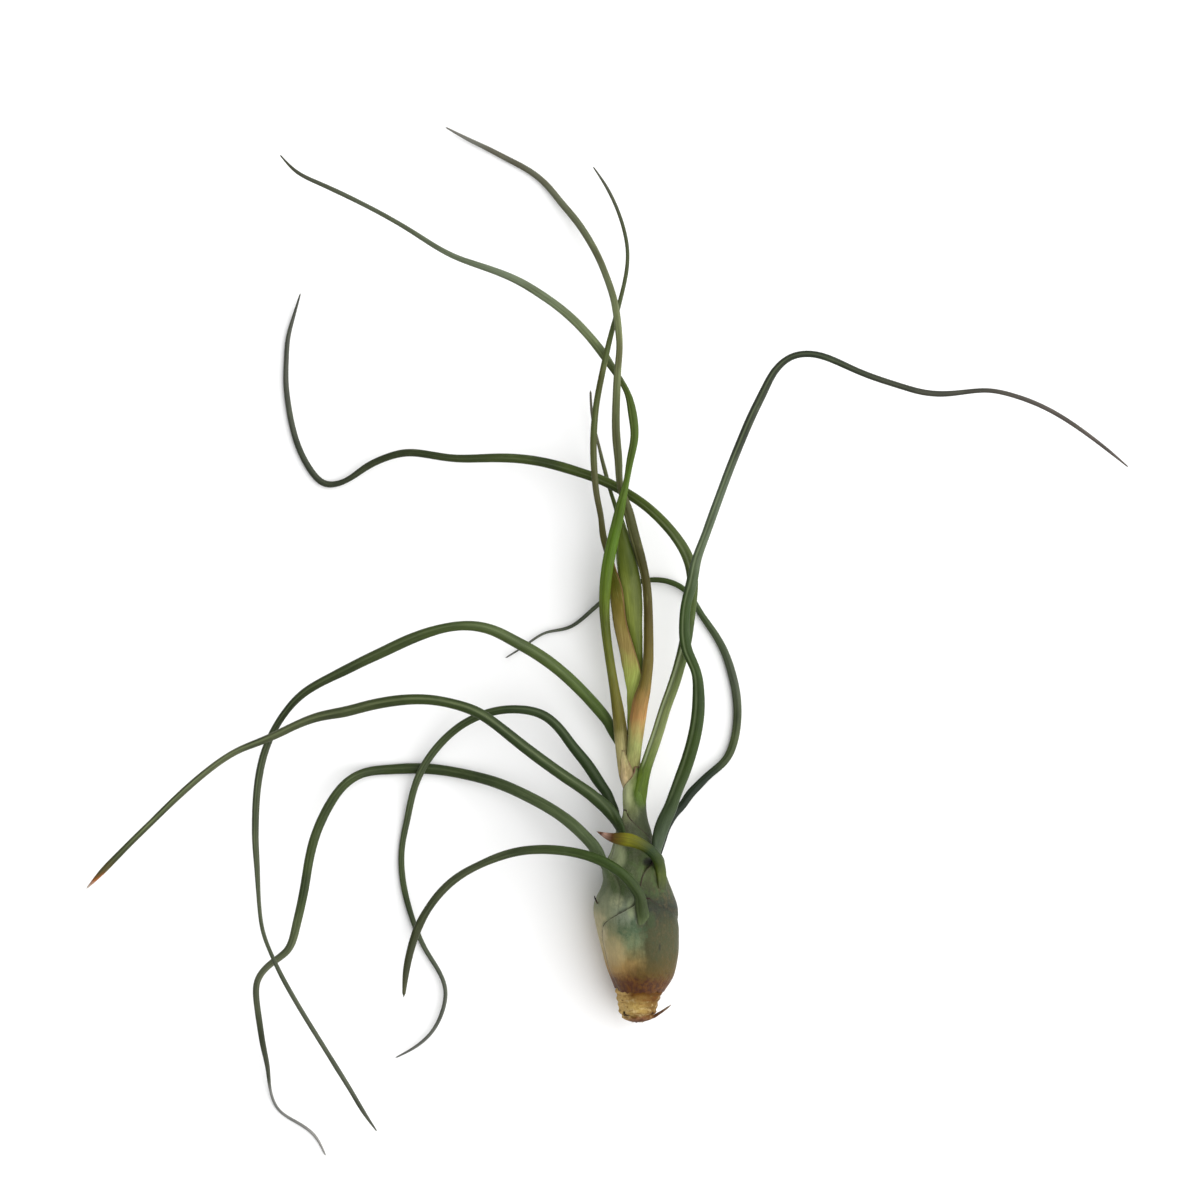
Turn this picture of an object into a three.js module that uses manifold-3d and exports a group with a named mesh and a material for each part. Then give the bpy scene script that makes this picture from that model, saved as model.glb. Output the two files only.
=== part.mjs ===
// Bulb-forming air plant lying on its side, in millimetres, +Z up.
// The bulb's axis runs along Y with its base towards -Y. The origin is under the middle
// of the whole plant's bounding box, on the surface that the plant lies on.
import * as THREE from 'three';
import { mergeVertices } from 'three/addons/utils/BufferGeometryUtils.js';
import Module from 'manifold-3d';

// ---- driving dimensions -------------------------------------------------------------
const SHEATH_THICKNESS = 0.6;    // wall of one leaf sheath
const LAYER_PITCH = 1.0;         // from one sheath to the next one inside it
const FLAT_PITCH = 1.12;         // the same, where the underside is flattened
const SHEATH_STEP_DEG = 20;      // widest facet of a sheath, round the bulb
const BLADE_SIDES = 6;           // facets round a leaf blade
const STEM_SIDES = 12;           // facets round the stem
const BRACT_THICKNESS = 0.45;    // wall of a bract of the young spike
const BRACT_GAP = 0.38;          // space between two bracts of the spike
const CLASP_THICKNESS = 0.36;    // wall of the back bract's trough

// Bulb axis and its outer radius at successive stations: [y, x, z, radius].
const BULB_AXIS = [
  [-94.53, 9.5, 9.94, 6.37], [-92.88, 9.85, 10.15, 7.56], [-90.97, 10.06, 10.37, 8.51],
  [-87.97, 10.03, 10.64, 9.5], [-84.72, 9.84, 10.72, 10.21], [-81.2, 9.49, 10.8, 10.75],
  [-77.68, 9.06, 10.85, 11.23], [-71.19, 8.35, 10.94, 11.69], [-67.94, 8.33, 11.02, 11.21],
  [-64.96, 8.41, 11.15, 10.31], [-61.7, 8.41, 11.31, 9.77], [-56.57, 8.35, 11.34, 8.94],
  [-51.43, 8.3, 11.34, 8.51], [-42.79, 8.19, 11.26, 8.48], [-29.29, 8.14, 11.12, 8.48],
];

// Woody stem base, then the flower stalk inside the bulb and neck:
// [x, y, z, width, depth, lean].
const STEM = [
  [8.91, -102.72, 9.18, 4.44, 4.43, 0], [9.02, -102.31, 9.18, 6.77, 6.75, 0],
  [9.13, -101.63, 9.23, 8.23, 8.21, 0], [9.02, -100.27, 9.32, 9.85, 9.83, 0],
  [9.02, -98.9, 9.45, 10.28, 10.26, 0], [9.15, -97.53, 9.61, 10.93, 10.91, 0],
  [9.31, -96.16, 9.77, 11.58, 11.56, 0], [9.5, -94.53, 9.94, 12.66, 12.64, 0],
  [9.66, -93.84, 10.04, 10.6, 10.58, 0], [9.82, -93.02, 10.15, 8.87, 8.86, 0],
  [10.04, -90.97, 10.37, 8.22, 8.21, 0], [10.03, -88.79, 10.58, 8, 7.99, 0],
  [9.92, -86.34, 10.75, 7.35, 7.34, 0], [9.65, -82.81, 10.96, 6.05, 6.05, 0],
  [9.11, -77.93, 11.12, 4.86, 4.86, 0], [8.35, -69.82, 11.18, 3.78, 3.78, 0],
  [8.41, -61.7, 11.31, 3.24, 3.24, 0], [8.32, -53.59, 11.34, 2.92, 2.92, 0],
  [8.19, -42.79, 11.26, 2.7, 2.7, 0], [8.16, -38.74, 11.21, 2.27, 2.27, 0],
  [8.14, -33.34, 11.15, 2.16, 2.16, 0], [8.08, -27.94, 11.12, 2.16, 2.16, 0],
  [8.03, -23.35, 11.07, 2.16, 2.16, 0], [7.98, -20.1, 11.07, 1.41, 1.4, 0],
];

// Dry root stub: [x, y, z, width, depth, lean].
const ROOT = [
  [13.89, -101.97, 9.07, 0.7, 0.7, 0], [14.71, -101.02, 8.91, 0.79, 0.76, 0],
  [15.63, -100.25, 8.69, 0.7, 0.68, 0], [16.5, -99.66, 8.42, 0.6, 0.59, 0],
  [17.37, -99.08, 8.21, 0.46, 0.46, 0], [18.03, -98.52, 8.1, 0.3, 0.3, 0],
];

// Point left by the blade that broke off the oldest sheath: [x, y, z, width, depth, lean].
const OLD_POINT = [
  [-2.05, -70.98, 6.54, 1.09, 0.41, -111], [-2.02, -69.58, 7.01, 0.95, 0.54, -111],
  [-2.57, -68.63, 7.15, 0.54, 0.43, -111], [-2.35, -67.8, 7.28, 0.33, 0.32, -111],
];

// Sheaths: layer 0 is outermost. Rows from the base up:
// [y, first angle, last angle, change of radius]. Angles are in degrees round the bulb's
// axis, 0 at the top (+Z) and 90 towards +X.
const SHEATHS = {
  leaf_front: { layer: 0, rows: [
    [-92.88, -62, 88, -1.22], [-91.52, -66, 92, 0], [-87.43, -70, 95, 0], [-82.01, -70, 95, 0],
    [-78.49, -66, 92, 0], [-76.6, -60, 84, 0], [-75.51, -51, 76, 0], [-74.43, -42, 68, 0],
    [-73.08, -26, 58, 0], [-72, -15, 46, 0], [-70.92, -5, 32, 0],
  ] },
  old_leaf_base: { layer: 0, rows: [
    [-92.61, 118, 250, -0.68], [-91.52, 112, 255, 0], [-87.43, 108, 258, 0], [-77.68, 108, 258, 0.16],
    [-73.62, 108, 260, 0.22], [-72.54, 118, 262, 0.22], [-71.73, 132, 262, 0.22], [-71.05, 148, 262, 0.22],
    [-70.37, 165, 261, 0.22], [-69.83, 183, 259, 0.22], [-69.29, 203, 256, 0.22], [-68.75, 226, 252, 0.16],
  ] },
  leaf_left: { layer: 1, rows: [
    [-91.79, -145, -38, -1.62], [-90.42, -152, -34, -0.14], [-87.43, -155, -28, 0], [-76.6, -155, -28, 0],
    [-71.19, -155, -28, 0], [-69.02, -152, -25, 0], [-66.31, -144, -29, 0], [-64.14, -132, -34, 0],
    [-62.24, -118, -39, 0], [-60.62, -102, -44, 0], [-59.27, -88, -48, 0], [-58.19, -75, -52, 0],
  ] },
  leaf_stub: { layer: 1, rows: [
    [-91.79, -12, 92, -1.62], [-90.42, -18, 98, -0.14], [-87.43, -20, 100, 0], [-76.6, -20, 100, 0],
    [-71.19, -20, 100, 0], [-69.02, -16, 100, 0], [-66.58, -9, 98, 0], [-64.14, 2.5, 92, 0],
    [-62.24, 14, 82, 0], [-60.89, 26, 72, 0],
  ] },
  leaf_right_low: { layer: 2, rows: [
    [-90.15, 70, 170, -1.35], [-88.79, 60, 180, -0.14], [-83.36, 50, 190, 0], [-71.19, 50, 190, 0],
    [-64.96, 60, 188, 0], [-62.79, 70, 184, 0], [-61.16, 80, 176, 0], [-59.54, 92, 164, 0],
    [-58.19, 102, 148, 0], [-57.11, 108, 134, 0],
  ] },
  leaf_right_tall: { layer: 3, rows: [
    [-88.24, 25, 130, -1.35], [-86.89, 14, 145, -0.14], [-83.36, 2, 155, 0], [-71.19, 8, 160, 0],
    [-64.41, 25, 158, 0], [-62.24, 30, 154, 0], [-60.35, 37, 146, 0], [-58.46, 46, 128, 0],
    [-56.57, 58, 104, 0],
  ] },
  leaf_long_left: { layer: 4, rows: [
    [-85.8, -55, 70, -1.22], [-84.18, -66, 85, -0.14], [-80.66, -72, 100, 0], [-71.19, -75, 110, 0],
    [-61.7, -75, 110, 0], [-56.3, -75, 98, 0], [-53.87, -75, 75, 0], [-51.7, -75, 52, 0], [-49.81, -75, 18, 0],
    [-48.19, -73, -9, 0], [-46.84, -69, -38, 0],
  ] },
  leaf_curl: { layer: 4, rows: [
    [-85.8, 182, 262, -1.22], [-84.18, 165, 272, -0.14], [-80.66, 158, 278, 0], [-61.7, 155, 280, 0],
    [-56.3, 155, 280, 0], [-54.14, 168, 278, 0], [-52.51, 188, 275, 0], [-51.16, 208, 271, 0],
    [-49.81, 228, 264, 0],
  ] },
  leaf_back: { layer: 5, rows: [
    [-82.82, 120, 240, -1.08], [-80.66, 100, 260, -0.14], [-71.19, 95, 265, 0], [-59, 95, 265, 0],
    [-43.6, 95, 265, 0], [-42.25, 104, 254, 0], [-40.36, 114, 240, 0], [-38.47, 127, 228, 0],
    [-35.77, 146, 224, 0], [-33.34, 165, 220, 0], [-30.64, 186, 214, 0],
  ] },
  leaf_neck: { layer: 5, rows: [
    [-60.62, -70, 70, 0], [-56.3, -85, 85, 0], [-43.6, -85, 85, 0], [-40.09, -76, 85, 0], [-38.47, -45, 82, 0],
    [-36.58, -12, 72, 0], [-35.23, 14, 62, 0],
  ] },
  bract_left: { layer: 6, rows: [
    [-54.95, 195, 345, 0], [-41.44, 195, 345, 0],
  ] },
  bract_right: { layer: 6, rows: [
    [-54.95, 15, 165, 0], [-40.09, 15, 120, 0], [-36.85, 2, 50, 0],
  ] },
};

// Blades, from inside the sheath to the tip: [x, y, z, width, depth, lean], where lean
// is the angle in degrees between the blade's flat face and straight up.
const LEAF_FRONT = [
  [11.84, -77.76, 21.25, 1.34, 0.41, 15], [10.78, -74.6, 22.3, 3.11, 0.57, 15],
  [10.28, -72.81, 23.06, 3.85, 1.51, 0], [9.58, -70.49, 23.71, 3.9, 2.21, 0],
  [9.27, -67.42, 24.87, 3.1, 2.47, 0.98], [7.96, -65.37, 25.22, 3.02, 2.43, 0],
  [6.47, -63.48, 25.36, 2.87, 2.36, 0], [4.77, -61.79, 25.39, 2.77, 2.3, 0],
  [1.82, -59.72, 25.23, 2.85, 2.29, 0], [-1.37, -58.08, 24.8, 2.84, 2.25, 0],
  [-4.79, -56.93, 24.16, 2.65, 2.16, 0], [-10.61, -55.82, 22.86, 2.55, 2.07, 0],
  [-16.56, -55.53, 21.42, 2.48, 2, 0], [-22.52, -56.1, 19.85, 2.37, 1.9, 0],
  [-28.32, -57.75, 17.9, 2.26, 1.81, 0], [-33.89, -60.21, 15.79, 2.03, 1.69, 0],
  [-39.17, -63.27, 13.88, 2.15, 1.72, 0], [-43.76, -67.3, 12.19, 2.2, 1.74, 0],
  [-47.51, -72.15, 10.66, 2.14, 1.74, 0], [-50.39, -77.54, 9.51, 2.31, 1.78, 0],
  [-52.32, -83.28, 9.09, 2.1, 1.65, 0], [-53.54, -89.16, 9.27, 1.86, 1.41, 0],
  [-54.14, -95.09, 9.72, 0.95, 0.91, 0],
];
const LEAF_STUB = [
  [15.24, -66.92, 17.8, 1.34, 0.41, 46], [15.36, -63.83, 17.98, 3.22, 0.7, 46],
  [15.15, -61.46, 18.95, 3.38, 1.4, 38], [14.6, -59.11, 19.93, 3.06, 1.89, 21],
  [13.71, -57.16, 21.22, 2.65, 2.11, 5.52], [12.13, -55.52, 21.93, 2.61, 2.08, 0],
  [10.34, -54.16, 22.36, 2.56, 2.04, 0], [8.42, -53.01, 22.5, 2.53, 1.98, 0],
  [5.06, -52.23, 22.3, 2.46, 1.8, 0], [1.6, -52.04, 21.79, 2.1, 1.52, 0], [-1.64, -50.86, 21.33, 0.4, 0.47, 0],
];
const LEAF_LEFT = [
  [1.02, -62.83, 15.85, 1.35, 0.41, -58], [0.67, -59.82, 15.28, 3.5, 0.65, -58],
  [-0.94, -57.8, 15.28, 3.61, 1.4, -45], [-3.15, -54.58, 15.12, 3.39, 2.43, -10],
  [-5.32, -52.31, 14.23, 3.22, 2.65, 0], [-7.05, -50.63, 13.69, 3.26, 2.63, 0],
  [-8.87, -49.06, 13.02, 3.24, 2.59, 0], [-11.78, -46.89, 11.92, 3.14, 2.52, 0],
  [-14.87, -44.96, 10.89, 3.1, 2.49, 0], [-18.07, -43.21, 9.86, 3.07, 2.46, 0],
  [-23.5, -40.61, 7.94, 3.04, 2.43, 0], [-29.14, -38.4, 5.65, 3.07, 2.41, 0],
  [-35.02, -36.83, 3.4, 2.89, 2.32, 0], [-41, -35.64, 1.83, 2.86, 2.28, 0],
  [-47.03, -34.85, 1.31, 2.91, 2.29, 0], [-53.11, -34.7, 1.14, 2.91, 2.26, 0],
  [-59.17, -35.01, 1.17, 2.68, 2.13, 0], [-65.11, -35.76, 2.35, 2.48, 2, 0],
  [-70.14, -38.58, 5.5, 2.45, 1.96, 0], [-73.67, -43.09, 9.29, 2.49, 1.99, 0],
  [-76.29, -48.23, 12.4, 2.55, 2.03, 0], [-78.25, -53.72, 14.67, 2.56, 2.04, 0],
  [-79.5, -59.47, 16.06, 2.47, 2, 0], [-80.42, -65.34, 16.69, 2.47, 1.98, 0],
  [-81.58, -71.21, 16.68, 2.43, 1.94, 0], [-82.96, -77.07, 16.32, 2.33, 1.84, 0],
  [-85.03, -82.73, 15.74, 2.07, 1.67, 0], [-89.6, -86.58, 15.17, 1.85, 1.51, 0],
  [-93.26, -91.1, 14.75, 1.77, 1.43, 0], [-93.68, -97.2, 13.45, 1.72, 1.38, 0],
  [-93.08, -103.41, 10.91, 1.72, 1.34, 0], [-92.39, -109.72, 7.66, 1.58, 1.22, 0],
  [-91.49, -116.04, 4.16, 1.27, 0.99, 0], [-90.96, -122.37, 1.37, 0.81, 0.71, 0],
  [-88.8, -127.79, 0.33, 0.76, 0.63, 0], [-83.83, -131.29, 0.33, 0.82, 0.63, 0],
  [-78.97, -134.94, 0.32, 0.8, 0.6, 0], [-76.15, -139.94, 0.32, 0.41, 0.4, 0],
];
const LEAF_RIGHT_LOW = [
  [14.75, -60.85, 7.68, 1.36, 0.41, -60], [14.39, -57.58, 7.91, 2.46, 0.57, -60],
  [15.02, -55.26, 7.43, 2.52, 0.93, -48.43], [15.74, -52.95, 6.95, 2.56, 1.6, -24.4],
  [16.63, -50.7, 6.48, 2.62, 1.91, -3.94], [17.71, -48.54, 5.97, 2.72, 1.95, 0],
  [19.15, -46.59, 5.43, 2.58, 1.89, 0], [20.91, -44.92, 4.86, 2.29, 1.77, 0],
  [23.13, -41.89, 4.02, 2.4, 1.78, 0], [25.71, -39.13, 3.23, 2.36, 1.73, 0],
  [28.42, -36.51, 2.53, 2.18, 1.65, 0], [33.06, -32.37, 1.62, 2.17, 1.63, 0],
  [35.54, -26.73, 1.18, 2.25, 1.66, 0], [36.36, -20.56, 1.03, 2.27, 1.69, 0],
  [36.03, -14.35, 1, 2.33, 1.71, 0], [34.7, -8.27, 0.97, 2.27, 1.66, 0], [32.63, -2.39, 0.97, 2.1, 1.55, 0],
  [29.5, 3, 1.01, 1.93, 1.43, 0], [25.99, 8.15, 1.08, 1.73, 1.3, 0], [22.61, 13.38, 1.29, 1.57, 1.19, 0],
  [17.24, 16.34, 1.62, 1.54, 1.13, 0], [11.05, 16.5, 1.62, 1.38, 1.03, 0], [5.18, 14.48, 1.52, 1.22, 0.93, 0],
  [-0.11, 11.2, 1.28, 1.19, 0.88, 0], [-4.81, 7.11, 1.09, 1.13, 0.82, 0], [-9.9, 3.65, 1.08, 0.97, 0.71, 0],
  [-15.9, 2.31, 1.16, 0.72, 0.56, 0], [-21.21, -0.95, 1.29, 0.63, 0.45, 0],
  [-26.45, -4.29, 1.62, 0.41, 0.3, 0],
];
const LEAF_RIGHT_TALL = [
  [14.24, -59.35, 12.9, 1.35, 0.41, 75], [13.83, -56.3, 13.5, 3.51, 0.7, 66],
  [14.3, -53.94, 14.58, 3.88, 1.51, 48], [15.31, -50.63, 15.88, 4.09, 2.59, 22],
  [16.64, -47.09, 16.74, 3.87, 2.81, 8], [17.78, -44.6, 17.13, 3.72, 2.82, 0],
  [18.57, -42.28, 17.91, 3.53, 2.74, 0], [19.82, -38.73, 19.08, 3.51, 2.71, 0],
  [21.14, -35.21, 20.17, 3.67, 2.75, 0], [22.36, -31.67, 21.16, 3.63, 2.73, 0],
  [23.97, -25.76, 22.64, 3.61, 2.72, 0], [24.98, -19.73, 23.78, 3.55, 2.64, 0],
  [25.17, -13.64, 24.57, 3.22, 2.42, 0], [24.41, -7.61, 24.9, 2.71, 2.17, 0],
  [22.1, -2.02, 24.73, 2.88, 2.18, 0], [21.38, 3.98, 24.36, 2.9, 2.18, 0],
  [21.88, 10.02, 23.75, 2.77, 2.15, 0], [23.37, 15.91, 23.76, 3, 2.19, 0],
  [24.64, 21.81, 23.72, 2.64, 2.01, 0], [26.67, 27.54, 24.12, 2.39, 1.85, 0],
  [28.72, 33.24, 24.82, 2.38, 1.8, 0], [30.78, 38.93, 25.56, 2.34, 1.78, 0],
  [32.86, 44.6, 26.29, 2.3, 1.76, 0], [35.05, 50.22, 27, 2.32, 1.77, 0], [37.33, 55.8, 27.69, 2.34, 1.77, 0],
  [39.76, 61.31, 28.33, 2.34, 1.76, 0], [42.41, 66.72, 28.92, 2.23, 1.67, 0],
  [45.28, 71.99, 29.52, 1.98, 1.51, 0], [49.81, 75.82, 30.08, 1.77, 1.39, 0],
  [55.73, 76.45, 30.31, 1.78, 1.36, 0], [61.49, 74.66, 30.1, 1.8, 1.35, 0],
  [67.02, 72.18, 29.76, 1.68, 1.29, 0], [72.68, 70.02, 29.44, 1.66, 1.26, 0],
  [78.46, 68.18, 29.17, 1.6, 1.23, 0], [84.31, 66.57, 28.87, 1.63, 1.22, 0],
  [90.37, 66.06, 28.4, 1.56, 1.16, 0], [96.42, 66.63, 28.04, 1.33, 1.04, 0],
  [102.45, 66.95, 28.09, 1.26, 0.98, 0], [108.38, 65.78, 28.08, 1.26, 0.96, 0],
  [114.1, 63.8, 28.08, 1.27, 0.96, 0], [119.56, 61.18, 28.08, 1.23, 0.93, 0],
  [124.72, 58, 28.08, 1.17, 0.88, 0], [129.65, 54.48, 28.08, 1.06, 0.79, 0],
  [134.43, 50.76, 28.08, 0.87, 0.63, 0], [139.08, 46.89, 28.08, 0.4, 0.34, 0],
];
const LEAF_LONG_LEFT = [
  [5.15, -52.62, 14.27, 1.35, 0.41, -47], [5.02, -49.37, 14.58, 4.14, 0.57, -47],
  [3.44, -47.5, 15.26, 4.07, 1.29, -37.94], [1.76, -45.71, 16.15, 3.89, 2.51, -19.12],
  [-0.03, -44.04, 16.77, 3.66, 2.94, -3.08], [-1.84, -42.42, 17.29, 3.43, 2.8, 0],
  [-3.72, -40.87, 17.83, 3.26, 2.69, 0], [-5.68, -39.42, 18.42, 3.16, 2.61, 0],
  [-8.73, -37.32, 19.35, 3.11, 2.54, 0], [-11.77, -35.2, 20.25, 3.11, 2.51, 0],
  [-14.77, -33.02, 21.15, 3.12, 2.51, 0], [-19.62, -29.38, 22.49, 3.08, 2.47, 0],
  [-24.35, -25.61, 23.59, 2.97, 2.41, 0], [-29.06, -21.84, 24.55, 2.85, 2.33, 0],
  [-34.1, -18.58, 25.23, 2.89, 2.31, 0], [-39.77, -16.58, 25.58, 2.66, 2.2, 0],
  [-45.67, -15.43, 25.86, 2.7, 2.2, 0], [-51.69, -15.26, 25.84, 2.8, 2.27, 0],
  [-57.73, -15.92, 24.96, 2.91, 2.33, 0], [-63.73, -17.18, 23.34, 2.88, 2.32, 0],
  [-69.7, -18.71, 21.55, 2.86, 2.26, 0], [-75.76, -19.87, 19.9, 2.56, 2.06, 0],
  [-81.6, -21.87, 18.33, 2.26, 1.86, 0], [-87.22, -24.52, 16.65, 2.18, 1.74, 0],
  [-92.92, -26.98, 15.24, 2, 1.6, 0], [-98.63, -29.33, 14.31, 1.78, 1.46, 0],
  [-103.88, -32.52, 13.76, 1.74, 1.42, 0], [-108.72, -36.26, 13.52, 1.8, 1.43, 0],
  [-113.32, -40.28, 13.43, 1.8, 1.43, 0], [-117.76, -44.45, 13.42, 1.72, 1.38, 0],
  [-122.1, -48.72, 13.49, 1.66, 1.34, 0], [-126.45, -52.96, 13.63, 1.65, 1.33, 0],
  [-130.72, -57.28, 13.85, 1.7, 1.35, 0], [-134.93, -61.62, 14.17, 1.71, 1.25, 0],
  [-139.02, -66.06, 14.58, 0.54, 0.62, 0],
];
const LEAF_CURL = [
  [4.37, -53.72, 9.49, 1.35, 0.41, 65], [4.19, -50.47, 9.45, 3.39, 0.57, 65],
  [3.32, -48.22, 8.97, 3.45, 1.15, 52.47], [2.48, -45.95, 8.61, 3.41, 2.17, 26.44],
  [1.68, -43.66, 8.43, 3.06, 2.49, 4.26], [0.87, -41.37, 8.34, 2.73, 2.34, 0],
  [-0.47, -39.34, 8.31, 2.88, 2.38, 0], [-1.86, -37.33, 8.46, 3.12, 2.45, 0],
  [-3.85, -34.24, 8.97, 3.11, 2.41, 0], [-6.06, -31.31, 9.49, 2.98, 2.34, 0],
  [-8.37, -28.46, 9.93, 2.8, 2.25, 0], [-11.98, -23.65, 10.5, 2.63, 2.11, 0],
  [-16.52, -19.84, 10.84, 2.52, 2, 0], [-22.3, -18.36, 11.33, 2.32, 1.87, 0],
  [-28.28, -18.58, 10.88, 2.24, 1.79, 0], [-34.09, -20.27, 9.09, 2.14, 1.72, 0],
  [-39.43, -23.24, 6.7, 2.11, 1.69, 0], [-44.01, -27.28, 4.9, 2.14, 1.69, 0],
  [-47.81, -32.01, 4.17, 2.11, 1.66, 0], [-50.71, -37.35, 3.36, 2, 1.58, 0],
  [-52.54, -43.17, 2.04, 1.86, 1.48, 0], [-53.8, -49.15, 1.16, 1.77, 1.4, 0],
  [-54.97, -55.1, 0.85, 1.67, 1.34, 0], [-55.25, -61.14, 0.87, 1.65, 1.31, 0],
  [-54.56, -67.15, 0.86, 1.69, 1.31, 0], [-53.12, -73.03, 0.86, 1.58, 1.24, 0],
  [-51.16, -78.75, 0.9, 1.41, 1.13, 0], [-48.61, -84.23, 0.99, 1.29, 1.03, 0],
  [-45.42, -89.35, 1.26, 1.21, 0.96, 0], [-43.28, -94.9, 1.61, 1.13, 0.9, 0],
  [-44.08, -100.86, 1.62, 1.09, 0.86, 0], [-46.78, -106.24, 1.62, 0.99, 0.78, 0],
  [-51.16, -110.37, 1.61, 0.85, 0.64, 0], [-56.42, -113.29, 1.89, 0.41, 0.31, 0],
];
const LEAF_BACK = [
  [7.09, -33.61, 8.2, 1.35, 0.41, 20], [6.52, -30.37, 7.88, 2.4, 0.57, 20],
  [4.88, -28.6, 7.38, 2.41, 0.96, 16.14], [3.53, -26.57, 7.02, 2.39, 1.68, 8.13],
  [2.29, -24.47, 7.12, 2.52, 2.09, 1.31], [1.3, -22.23, 7.56, 2.88, 2.27, 0],
  [-0.04, -20.18, 8.26, 3.14, 2.41, 0], [-1.6, -18.27, 9.23, 3.2, 2.48, 0],
  [-4.09, -15.41, 11.21, 3.22, 2.55, 0], [-6.69, -12.65, 13.14, 3.25, 2.6, 0],
  [-9.37, -10.01, 14.86, 3.25, 2.61, 0], [-14.05, -6.01, 17.47, 3.29, 2.64, 0],
  [-19.08, -2.52, 19.97, 3.29, 2.62, 0], [-24.38, 0.49, 22.37, 3.1, 2.5, 0],
  [-29.81, 3.19, 24.48, 2.88, 2.33, 0], [-35.73, 4.38, 25.65, 2.65, 2.17, 0],
  [-41.8, 3.92, 25.37, 2.5, 2.09, 0], [-47.72, 2.32, 24.46, 2.73, 2.21, 0],
  [-53.44, 0.06, 23.42, 2.96, 2.35, 0], [-59.02, -2.57, 22.33, 2.92, 2.34, 0],
  [-64.62, -5.2, 21.12, 2.8, 2.24, 0], [-70.18, -7.96, 19.68, 2.59, 2.08, 0],
  [-75.78, -10.74, 17.93, 2.32, 1.89, 0], [-81.13, -14.06, 15.75, 2.19, 1.75, 0],
  [-85.58, -18.54, 13.29, 1.95, 1.59, 0], [-89.06, -23.75, 11.75, 1.91, 1.56, 0],
  [-91.51, -29.38, 11.99, 2.04, 1.61, 0], [-92.89, -35.3, 13.41, 2.08, 1.64, 0],
  [-93.59, -41.35, 14.65, 2.01, 1.61, 0], [-93.83, -47.45, 15.5, 1.93, 1.55, 0],
  [-93.78, -53.56, 16.23, 1.83, 1.45, 0], [-93.35, -59.64, 17.02, 1.61, 1.27, 0],
  [-92.96, -65.73, 17.74, 1.28, 1.06, 0], [-92.49, -71.81, 18.33, 1.09, 0.92, 0],
  [-91.48, -77.81, 19, 1.1, 0.89, 0], [-89.32, -83.5, 19.65, 1.09, 0.9, 0],
  [-86.75, -89.07, 19.44, 1.24, 0.99, 0], [-83.9, -94.56, 18.27, 1.31, 1.04, 0],
  [-80.88, -99.99, 16.94, 1.3, 1.04, 0], [-77.73, -105.33, 15.85, 1.3, 1.05, 0],
  [-74.53, -110.64, 15.05, 1.29, 1.04, 0], [-71.33, -115.95, 14.39, 1.31, 1.04, 0],
  [-68.13, -121.27, 13.72, 1.25, 0.99, 0], [-65.03, -126.66, 12.96, 1.13, 0.85, 0],
  [-61.58, -131.84, 12.15, 0.4, 0.37, 0],
];
const LEAF_NECK = [
  [9.58, -45.07, 14.13, 1.35, 0.41, 26], [9.71, -41.85, 14.04, 3.22, 0.57, 26],
  [9.89, -39.67, 14.42, 3.61, 1.13, 21], [10.37, -37.52, 14.31, 3.45, 1.67, 14],
  [11.08, -34.57, 13.93, 3.23, 2.05, 6], [12.11, -31.22, 13.45, 3.24, 2.32, 2],
  [13.3, -27.87, 12.96, 3.24, 2.48, 0], [14.82, -23.31, 12.15, 3.19, 2.48, 0],
  [16.4, -18.2, 11.34, 3.13, 2.48, 0], [18.73, -11.77, 10.81, 3.23, 2.56, 0],
  [20.47, -5.98, 10.98, 3.19, 2.57, 0], [21.91, -0.13, 11.73, 3.33, 2.62, 0],
  [22.86, 5.83, 13.2, 3.19, 2.53, 0], [23.63, 11.81, 15.31, 2.91, 2.4, 0],
  [23.68, 17.81, 17.02, 2.99, 2.39, 0], [22.07, 23.55, 18.48, 2.98, 2.36, 0],
  [18.89, 28.62, 18.61, 2.76, 2.24, 0], [14.93, 33.15, 16.75, 2.67, 2.16, 0],
  [10.44, 37.17, 14.29, 2.63, 2.13, 0], [5.41, 40.51, 12, 2.68, 2.14, 0], [0.05, 43.33, 11.04, 2.71, 2.15, 0],
  [-5.62, 45.42, 10.7, 2.61, 2.11, 0], [-11.4, 47.23, 10.3, 2.69, 2.12, 0],
  [-17.28, 48.67, 9.89, 2.59, 2.07, 0], [-23.28, 49.49, 9.55, 2.51, 1.99, 0],
  [-29.34, 49.71, 9.26, 2.38, 1.9, 0], [-35.41, 49.55, 8.92, 2.23, 1.79, 0],
  [-41.48, 49.71, 8.39, 2.09, 1.69, 0], [-47.51, 50.64, 7.5, 2.07, 1.65, 0],
  [-53.61, 51.21, 5.95, 2.06, 1.62, 0], [-59.59, 49.86, 4.18, 1.94, 1.54, 0],
  [-65.12, 47.22, 2.68, 1.86, 1.45, 0], [-70.26, 43.88, 1.62, 1.52, 1.29, 0],
  [-76.07, 42.99, 0.94, 1.74, 1.36, 0], [-80.39, 47.2, 0.89, 1.74, 1.36, 0],
  [-83.18, 52.62, 0.87, 1.66, 1.32, 0], [-84.99, 58.44, 0.86, 1.63, 1.29, 0],
  [-86.11, 64.44, 0.87, 1.58, 1.24, 0], [-86.75, 70.5, 0.87, 1.47, 1.16, 0],
  [-86.67, 76.61, 0.82, 1.36, 1.07, 0], [-86.18, 82.68, 0.85, 1.23, 0.95, 0],
  [-84.66, 88.57, 1.14, 0.92, 0.71, 0], [-82.88, 94.38, 1.62, 0.41, 0.37, 0],
];
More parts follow.
